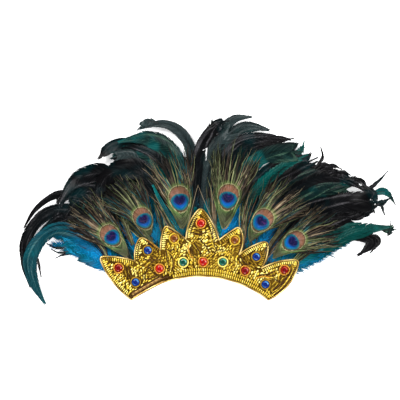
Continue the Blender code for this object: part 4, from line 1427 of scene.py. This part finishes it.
def flat_axes(direction, tip, roll):
    """Frames with x along plan directions (n, 2), tipped a little about y and rolled about x."""
    x = unit(raised(direction, tip))
    y = unit(np.cross(UP, x))
    turned = y * np.cos(roll)[:, None] + np.cross(x, y) * np.sin(roll)[:, None]
    return np.stack((x, turned, np.cross(x, turned)), axis=1)


def inset_row(outline, inset, pitch):
    """Evenly spread points inside the edge, with the inward direction, where they fit."""
    closed = np.vstack((outline, outline[:1]))
    points = resample(closed, int(path_length(closed) / pitch))[:-1]
    along = unit(np.roll(points, -1, axis=0) - np.roll(points, 1, axis=0))
    inward = -left_of(along)
    moved = points + inward * inset
    keep = inside(moved, outline) & (edge_distance(moved, outline) > inset * 0.9)
    return moved[keep], inward[keep], along[keep]


# Couched lines on the crown: start, middle and end, half width in millimetres, and their kind
LINE_COLUMNS = "kind half ax ay bx by cx cy"
LINES = (
    ("bronze", 0.9, -107, -50, -92, -39, -76, -30.5),
    ("bronze", 0.9, -76, -30.5, -66, -25, -57, -21.5),
    ("bronze", 0.9, -105, -54.5, -86, -42, -65, -30),
    ("bronze", 0.9, -65, -30, -56, -25, -47, -22.5),
    ("bronze", 0.8, -107, -50, -107.5, -53, -105, -54.5),
    ("satin", 1.7, -106, -51, -83, -37.5, -60, -24.6),
    ("satin", 1.7, -103.8, -56.2, -80, -42.5, -54, -29.5),
    ("bronze", 0.8, -97, 4, -95.8, 20, -92, 33),
    ("bronze", 0.8, -87, 35.5, -76, 26.5, -64, 15.5),
    ("amber", 1.2, -84, 34.8, -75, 29.2, -66, 21.5),
    ("bronze", 0.8, -116, -7, -111.5, -17, -114, -28),
    ("bronze", 0.8, -112, -5, -107.5, -16, -110.5, -27),
    ("bronze", 0.8, -79, -7, -84, -17, -86, -27),
    ("bronze", 0.8, -86, -27, -75, -24.5, -64, -20.5),
    ("bronze", 0.8, -79, -7, -75, -14, -66, -20),
    ("bronze", 0.8, -88, 6, -80, 3.5, -72, 8),
    ("bronze", 0.8, -76, -1, -69, 3.5, -60, 4),
    ("bronze", 0.8, -50, 52, -40, 46, -27, 35),
    ("amber", 1.2, -47, 49, -41, 45.8, -32, 39.5),
    ("bronze", 0.8, -53, 18, -50.5, 2, -47, -15),
    ("bronze", 0.8, -46, 12, -42, 2, -43, -14),
    ("gold", 0.8, -50, 14, -46.5, 1, -45, -14),
    ("bronze", 0.8, -53, 21, -46, 17.5, -40, 22),
    ("bronze", 0.8, -14.5, 43, -12, 54, -5, 68),
    ("bronze", 0.8, -11, 46, 0, 43, 10, 47.5),
    ("bronze", 0.9, 9, 67, 15.5, 52, 20, 34),
    ("bronze", 0.9, 20, 34, 22, 26, 27, 18),
    ("gold", 0.8, 13, 50, 17, 36, 23, 20),
    ("bronze", 0.9, -2, 37, 8, 26, 16, 12),
    ("bronze", 0.9, -8, 30, -2, 18, 5, 10.5),
    ("amber", 0.8, -18, 26, -16, 13, -10, 4),
    ("bronze", 0.8, -13, 24, -12, 13, -6, 6),
    ("gold", 0.9, 22, 3, 26.5, 13, 38, 14),
    ("gold", 0.9, 38, 14, 47, 12, 51, 1),
    ("bronze", 0.8, 20, 6, 25, 17, 38, 18),
    ("bronze", 0.8, 64, 10, 68, 0, 79, -4),
    ("bronze", 0.8, 60, 7, 64, -3, 77, -7.5),
    ("bronze", 0.9, 91, -20, 104, -19, 118, -13),
    ("amber", 1.0, 86, -27, 96, -22.5, 110, -25),
    ("bronze", 0.8, 113, -18, 118, -28, 127, -31),
    ("gold", 0.9, 116, -13, 121, -20, 121, -27),
    ("bronze", 0.9, 148, -8, 134, -34, 114, -52),
    ("bronze", 0.9, 143, -10, 130, -33, 110, -50),
    ("gold", 0.7, 145.5, -9, 132, -33.5, 112, -51),
    ("gold", 0.7, 139, -22, 128, -36, 112, -47),
    ("bronze", 0.8, 136, -22, 126, -34, 112, -44),
    ("bronze", 0.8, 63, 46, 64, 30, 60, 14),
)
LINE_HEIGHT = CROWN_TOP + 1.45
LINE_PITCH = 0.55
LINE_TWIST = (0.2, 2.2)
KIND_COLUMNS = "kind gold flat shade"
KINDS = (
    ("bronze", "bronze_thread", 1.0, 0.5),
    ("gold", "gold_bullion", 1.0, 0.6),
    ("amber", "gold_amber", 1.0, 0.5),
    ("satin", "gold_tan", 0.4, 0.28),
)
# Rings round the stones: their gold, how light it is, and the cord's radius
COLLARS = {
    "red": ("gold_amber", 0.5, 1.12),
    "amber": ("gold_bullion", 0.6, 1.12),
    "blue": ("gold_bullion", 0.38, 0.95),
    "green": ("gold_bullion", 0.85, 1.15),
}
RING_RADIUS = 7.45
RING_HEIGHT = CROWN_TOP + GAP + 1.25
RING_STEPS = 150
RING_TWIST = (0.2, 2.0)
ROPE_RADIUS = 1.05
ROPE_HEIGHT = CROWN_TOP + GAP + 1.1
ROPE_STEPS = 1500
ROPE_TWIST = (0.16, 2.6)
CORD_SIDES = 8
# Patches of laid bullion: middle, the angle of the pieces in degrees, and how light they are
PATCH_COLUMNS = "x y turn light"
PATCHES = (
    (-145, -4, 40, 0.22), (-142, 5, 60, -0.5), (-131, 3, 80, 0.0), (-116, 2, 80, 0.05),
    (-106, -3, 100, -0.1), (-137, -18, 40, 0.1), (-127, -28, 42, 0.15), (-119, -37, 42, 0.2),
    (-112, -45, 42, 0.2), (-111, -16, 100, -0.4), (-110, -26, 105, -0.3), (-113, -34, 50, 0.2),
    (-101, -14, 60, 0.35), (-96, -6, 30, 0.1), (-91, -18, 95, 0.0), (-87, -22, 95, 0.3),
    (-87, -31, 60, 0.2), (-77, -16, 30, -0.15), (-73, -26, 30, -0.05), (-80, -2, 20, -0.3),
    (-93, 3, 60, 0.05), (-85, 5, 30, 0.15), (-71, 6, -20, -0.25), (-62, 9, 60, -0.1),
    (-93, 14, 20, 0.3), (-92, 26, 20, 0.25), (-85, 32, 20, 0.25), (-71, 22, -35, -0.2),
    (-57, 24, 10, 0.35), (-57, 36, 10, 0.35), (-52, 46, 20, 0.15), (-42, 46, -50, 0.0),
    (-31, 37, -50, -0.1), (-48, 24, 60, 0.0), (-35, 23, 80, 0.1), (-50, 10, 90, 0.0),
    (-44, -2, 90, -0.05), (-46, -14, 80, 0.05), (-37, 13, 60, 0.0), (-28, 17, 30, 0.3),
    (-21, 27, 60, 0.35), (-34, -12, 140, 0.1), (-22, -14, 150, 0.1), (-12, -10, 150, -0.1),
    (-15, 9, 110, 0.1), (-8, 16, 100, -0.4), (-4, 27, -50, -0.25), (-12, 33, 50, 0.0),
    (-18, 38, 20, 0.3), (-15, 50, 20, 0.25), (-9, 62, 30, 0.2), (-3, 73, 60, 0.15), (6, 73, 0, -0.5),
    (-5, 46, 0, -0.35), (5, 38, 40, 0.3), (13, 56, 20, 0.2), (17, 46, 20, 0.3), (21, 35, 20, 0.15),
    (9, 26, 40, 0.3), (15, 28, 30, -0.2), (11, 14, 40, 0.2), (24, 24, -40, 0.15), (-8, 4, 90, 0.0),
    (-6, -7, 60, 0.1), (17, 9, 40, -0.1), (38, 27, 30, -0.3), (32, 21, 60, 0.3), (43, 20, 50, 0.1),
    (61, 33, 0, -0.4), (60, 20, 0, -0.35), (51, 18, 60, -0.15), (50, 46, 70, 0.1), (56, 3, 90, 0.1),
    (56, -11, 60, 0.2), (46, -9, 60, 0.0), (76, 18, 60, 0.15), (91, 23, 60, 0.2), (99, 12, 0, -0.4),
    (97, 0, 0, -0.25), (71, 5, 110, -0.35), (82, -6, 140, -0.25), (89, -15, 60, 0.25),
    (103, -12, 100, 0.3), (84, -25, 60, 0.15), (60, -24, 60, -0.05), (76, -32, 50, -0.15),
    (90, -35, 60, 0.25), (113, -9, 60, 0.2), (112, -19, 0, -0.15), (119, -22, 80, 0.2),
    (127, -27, 50, -0.35), (119, -36, 50, -0.35), (143, -7, 90, -0.25), (146, 0, 60, 0.15),
    (117, -45, 50, -0.3), (108, -46, 80, 0.1), (98, -46, 70, 0.25), (134, -1, 70, 0.2),
)
PATCH_CENTRES = np.array([patch[:2] for patch in PATCHES], float)
STONE_CENTRES = np.array([(stone["x"], stone["y"]) for stone in rows(STONE_COLUMNS, STONES)])
STONE_CLEARANCE = 9.6
BAR_GAP = 0.45
BAR_LIFT = 0.4
# Rows of the border: inset from the edge, length of the pieces, and how much the patches'
# lightness shows in them; a row with none of it keeps to the band, right of SECOND_FROM
BORDER_COLUMNS = "inset length share"
BORDERS = ((4.5, 5.2, 0.8), (10.0, 5.0, 0.0))
BORDER_PITCH = 3.2
BORDER_TONE = 0.69
BORDER_WIDTHS = (2.2, 2.5)
BORDER_HEIGHTS = (1.2, 1.5)
BORDER_NEAT = 0.3
BAND_REACH = 12.0
SATIN_REACH = 9.5
SATIN_FROM = -112.0
SATIN_TO = -44.0
SECOND_FROM = -30.0
SECOND_REACH = 11.5
# The fill: lengths and pitches of the pieces in a dark and in a light patch
DARK_BELOW = -0.1
DARK_LENGTHS = (7.5, 11.0)
DARK_PITCHES = (2.5, 2.8)
LIGHT_LENGTHS = (4.0, 6.0)
LIGHT_PITCHES = (2.9, 3.4)
FILL_HEIGHTS = (1.0, 1.5)
FILL_TONE = 0.57
FILL_STRIPE = 0.11
FILL_INSET = 7.6
FILL_BAND = 8.5
FILL_BAND_RIGHT = 12.8
# Gold threads: the lowest and highest roughness, and four colours from dark to light
GOLD_COLUMNS = "name rough_low rough_high colours"
GOLDS = (
    ("gold_bullion", 0.36, 0.5,
     ((0.06, 0.028, 0.002), (0.33, 0.185, 0.012), (0.78, 0.55, 0.05), (1.0, 0.86, 0.26))),
    ("gold_edge", 0.32, 0.45,
     ((0.2, 0.11, 0.02), (0.48, 0.31, 0.07), (0.8, 0.59, 0.2), (0.98, 0.8, 0.4))),
    ("gold_tan", 0.35, 0.5,
     ((0.12, 0.06, 0.015), (0.3, 0.17, 0.045), (0.52, 0.33, 0.1), (0.72, 0.5, 0.2))),
    ("gold_amber", 0.25, 0.4,
     ((0.2, 0.07, 0.006), (0.48, 0.2, 0.02), (0.78, 0.38, 0.05), (0.95, 0.58, 0.14))),
    ("bronze_thread", 0.35, 0.5,
     ((0.02, 0.008, 0.002), (0.05, 0.02, 0.006), (0.1, 0.045, 0.012), (0.18, 0.09, 0.02))),
)


def lay_bars(sheaf, points, ways, lengths, widths, heights, tones, rng, unruly=1.0):
    """Pieces of bullion on the crown's face."""
    count = len(points)
    centres = raised(points, CROWN_TOP + BAR_LIFT + rng.uniform(0, BAR_LIFT, count))
    spots = joined(0.0, 0.0, np.clip(tones, 0.0, 1.0))
    axes = flat_axes(ways, rng.normal(0, 0.10 * unruly, count), rng.normal(0, 0.16 * unruly, count))
    sheaf.copies(BAR, centres, axes, joined(lengths, widths, heights), spots)


def build_panel(ground, lining):
    """The crown's cloth: the solid with its edges softened."""
    body = bpy.data.objects.new("crown_body", bpy.data.meshes.new_from_object(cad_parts["crown_panel"]))
    bpy.context.scene.collection.objects.link(body)
    bevel = body.modifiers.new("edge", "BEVEL")
    bevel.width = 0.0006
    bevel.segments = 2
    bevel.limit_method = "ANGLE"
    bevel.angle_limit = radians(40)
    bpy.context.view_layer.update()
    graph = bpy.context.evaluated_depsgraph_get()
    mesh = bpy.data.meshes.new_from_object(body.evaluated_get(graph))
    body.modifiers.clear()
    body.data = mesh
    mesh.materials.clear()
    mesh.materials.append(ground)
    mesh.materials.append(lining)
    for face in mesh.polygons:
        face.material_index = int(face.normal.z < -0.9 and face.center.z < 0.5 * MM)
    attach(body, "root")
    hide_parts("crown_panel")


def build_rope(outline, material):
    """The twisted cord along the crown's edge."""
    path = resample(np.vstack((outline, outline[:1])), ROPE_STEPS)[:-1]
    spots = joined(0.0, 0.0, 0.5 + 0.3 * np.sin(np.arange(len(path)) * 0.11))
    rope = Sheaf()
    rope.tube(raised(path, ROPE_HEIGHT), ROPE_RADIUS, CORD_SIDES, spots, closed=True, twist=ROPE_TWIST)
    rope.build("edge_rope", (material,), "edge_cord")


def build_border(outline, material, rng):
    """A row of bullion across the edge, and a second one on the right of the band."""
    border = Sheaf()
    lights = np.array([patch["light"] for patch in rows(PATCH_COLUMNS, PATCHES)])
    for row in rows(BORDER_COLUMNS, BORDERS):
        points, inward, along = inset_row(outline, row["inset"], BORDER_PITCH)
        reach = band_distance(points)
        x = points[:, 0]
        on_satin = (x < SATIN_TO) & (reach < SATIN_REACH) & (x > SATIN_FROM)
        keep = (nearest(points, STONE_CENTRES)[1] > STONE_CLEARANCE) & ~on_satin
        if row["share"] == 0:
            keep &= (reach < SECOND_REACH) & (x > SECOND_FROM)
        points, inward, along = points[keep], inward[keep], along[keep]
        count = len(points)
        light = lights[nearest(points, PATCH_CENTRES)[0]] * row["share"]
        light = np.where(reach[keep] < BAND_REACH, 0.0, light)
        lean = inward + along * (0.12 + rng.normal(0, 0.08, (count, 1)))
        lengths = row["length"] * rng.uniform(0.9, 1.08, count)
        widths = rng.uniform(*BORDER_WIDTHS, count)
        heights = rng.uniform(*BORDER_HEIGHTS, count)
        tones = BORDER_TONE + light + rng.normal(0, 0.06, count)
        lay_bars(border, points, lean, lengths, widths, heights, tones, rng, BORDER_NEAT)
    border.build("border_bullion", (material,))


def build_fill(outline, material, rng):
    """Patches of bullion, each laid its own way; dark ones have longer and closer pieces."""
    fill = Sheaf()
    for number, patch in enumerate(rows(PATCH_COLUMNS, PATCHES)):
        turn = radians(patch["turn"])
        ahead = np.array((cos(turn), sin(turn)))
        dark = patch["light"] < DARK_BELOW
        span = rng.uniform(*(DARK_LENGTHS if dark else LIGHT_LENGTHS))
        pitch = rng.uniform(*(DARK_PITCHES if dark else LIGHT_PITCHES))
        i, j = (values.ravel() for values in np.meshgrid(np.arange(-4, 5), np.arange(-6, 7)))
        step = (i + 0.5 * (j % 2)) * (span + BAR_GAP)
        points = (patch["x"], patch["y"]) + np.outer(step, ahead) + np.outer(j * pitch, left_of(ahead))
        stripe = np.where(j % 2 == 0, FILL_STRIPE, -FILL_STRIPE)
        points += rng.normal(0, 0.25, points.shape)
        keep = (nearest(points, PATCH_CENTRES)[0] == number) & inside(points, outline)
        keep[keep] &= edge_distance(points[keep], outline) > FILL_INSET
        keep &= band_distance(points) > np.where(points[:, 0] > SECOND_FROM, FILL_BAND_RIGHT, FILL_BAND)
        keep &= nearest(points, STONE_CENTRES)[1] > STONE_CLEARANCE
        points = points[keep]
        count = len(points)
        if count == 0:
            continue
        direction = ahead + rng.normal(0, 0.10, (count, 2))
        light = patch["light"] * (1.0 if patch["light"] > 0 else 0.8)
        tones = FILL_TONE + light + stripe[keep] + rng.normal(0, 0.08, count)
        lengths = span * rng.uniform(0.8, 1.05, count)
        widths = (pitch - BAR_GAP) * rng.uniform(0.9, 1.15, count)
        lay_bars(fill, points, direction, lengths, widths, rng.uniform(*FILL_HEIGHTS, count), tones, rng)
    fill.build("bullion_fill", (material,))


def build_lines(golds):
    """Couched cords, thin at both ends; the satin ones lie flat."""
    for kind in rows(KIND_COLUMNS, KINDS):
        sheaf = Sheaf()
        for row in rows(LINE_COLUMNS, LINES):
            if row["kind"] != kind["kind"]:
                continue
            curve = whole([np.array((row[k + "x"], row[k + "y"]), float) for k in "abc"], 60)
            curve = resample(curve, int(path_length(curve) / LINE_PITCH))
            order = np.arange(len(curve))
            radius = row["half"] * np.clip(np.minimum(order, order[::-1]) / 4.0 + 0.3, 0, 1)
            spots = joined(0.0, 0.0, kind["shade"] + 0.15 * np.sin(order * 0.5))
            line = raised(curve, LINE_HEIGHT)
            sheaf.tube(line, radius, CORD_SIDES, spots, twist=LINE_TWIST, flat=kind["flat"])
        sheaf.build("couched_" + kind["kind"], (golds[kind["gold"]],))


def build_rings(golds):
    """The cord ring round each stone."""
    angle = 2 * pi * np.arange(RING_STEPS) / RING_STEPS
    for stone in rows(STONE_COLUMNS, STONES):
        gold, shade, radius = COLLARS[stone["colour"]]
        x = stone["x"] + RING_RADIUS * np.cos(angle)
        y = stone["y"] + RING_RADIUS * np.sin(angle)
        ring = Sheaf()
        line = joined(x, y, RING_HEIGHT)
        ring.tube(line, radius, CORD_SIDES, (0.0, 0.0, shade), closed=True, twist=RING_TWIST)
        ring.build("thread_" + stone["name"], (golds[gold],), "ring_" + stone["name"])


def build_crown():
    ground = ground_material()
    golds = {gold["name"]: gold_material(**gold) for gold in rows(GOLD_COLUMNS, GOLDS)}
    outline = crown_outline()
    rng = np.random.default_rng(7)
    build_panel(ground, lining_material())
    build_rope(outline, golds["gold_edge"])
    build_border(outline, golds["gold_bullion"], rng)
    build_fill(outline, golds["gold_bullion"], rng)
    build_lines(golds)
    build_rings(golds)


# Cut glass: its colour in the painted shade of the depth, in the body, at the painted rim and in its painted
# glints
GLASS_COLUMNS = "name deep rich rim glow"
GLASSES = (
    ("red", (0.11, 0.0, 0.002), (0.44, 0.006, 0.003), (0.30, 0.012, 0.005), (0.9, 0.24, 0.12)),
    ("deep", (0.04, 0.0, 0.001), (0.20, 0.001, 0.002), (0.12, 0.004, 0.003), (0.62, 0.12, 0.07)),
    ("amber", (0.05, 0.012, 0.003), (0.17, 0.045, 0.005), (0.5, 0.22, 0.02), (0.85, 0.42, 0.08)),
    ("blue", (0.0, 0.004, 0.07), (0.0, 0.022, 0.19), (0.0, 0.06, 0.27), (0.12, 0.45, 0.85)),
    ("green", (0.0, 0.016, 0.012), (0.0, 0.07, 0.047), (0.0, 0.12, 0.075), (0.12, 0.6, 0.45)),
)
DEEP_RED = ("horn_left", "horn_right", "band_right_2")


def build_stones():
    glasses = {glass["name"]: stone_material(**glass) for glass in rows(GLASS_COLUMNS, GLASSES)}
    for stone in rows(STONE_COLUMNS, STONES):
        look = "deep" if stone["name"] in DEEP_RED else stone["colour"]
        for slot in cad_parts["stone_" + stone["name"]].material_slots:
            slot.material = glasses[look]


FLOOR_HALF = 6.0
FLOOR_GLOW = 0.5
SKY_STRENGTH = 0.28
WHITE = (1.0, 1.0, 1.0, 1.0)
LIGHT_COLUMNS = "name place size power"
LIGHTS = (
    ("key", (-1.0, 1.1, 1.35), 0.8, 44.0),
    ("fill", (1.4, 0.3, 1.25), 0.9, 31.0),
    ("brow", (-0.1, -1.5, 1.25), 0.9, 26.0),
)
LIGHTS_AIM = (0.0, 0.08, 0.0)
CAMERA_PLACE = (0.0, 62 * PLAN_UNIT * MM, 2.595)
CAMERA_LENS = 150.0


def build_stage():
    """A faintly glowing white floor, soft lights, and a camera straight above."""
    mesh = bpy.data.meshes.new("floor")
    corners = [(x * FLOOR_HALF, y * FLOOR_HALF, 0) for x, y in ((-1, -1), (1, -1), (1, 1), (-1, 1))]
    mesh.from_pydata(corners, [], [(0, 1, 2, 3)])
    floor = bpy.data.objects.new("floor", mesh)
    bpy.context.scene.collection.objects.link(floor)
    paint = Paint("floor", Roughness=0.9, Emission_Color=WHITE, Emission_Strength=FLOOR_GLOW)
    grain = paint.noise(paint.place(), 3.0)
    mesh.materials.append(paint.done(paint.mix(grain, (0.93,) * 3, (0.96,) * 3)))

    world = bpy.data.worlds.new("studio")
    bpy.context.scene.world = world
    world.use_nodes = True
    sky = world.node_tree.nodes["Background"].inputs
    sky["Color"].default_value = WHITE
    sky["Strength"].default_value = SKY_STRENGTH

    for row in rows(LIGHT_COLUMNS, LIGHTS):
        light = bpy.data.lights.new(row["name"], "AREA")
        light.size = row["size"]
        light.energy = row["power"]
        lamp = bpy.data.objects.new(row["name"], light)
        lamp.location = row["place"]
        bpy.context.scene.collection.objects.link(lamp)
        aim = Vector(LIGHTS_AIM) - lamp.location
        lamp.rotation_euler = aim.to_track_quat("-Z", "Y").to_euler()

    camera = bpy.data.cameras.new("camera")
    camera.lens = CAMERA_LENS
    camera.sensor_width = 36.0
    camera.clip_end = 20.0
    eye = bpy.data.objects.new("camera", camera)
    eye.location = CAMERA_PLACE
    bpy.context.scene.collection.objects.link(eye)
    bpy.context.scene.camera = eye
    bpy.context.scene.view_settings.view_transform = "Standard"


build_feathers()
build_down()
build_crown()
build_stones()
build_stage()
bpy.context.view_layer.update()
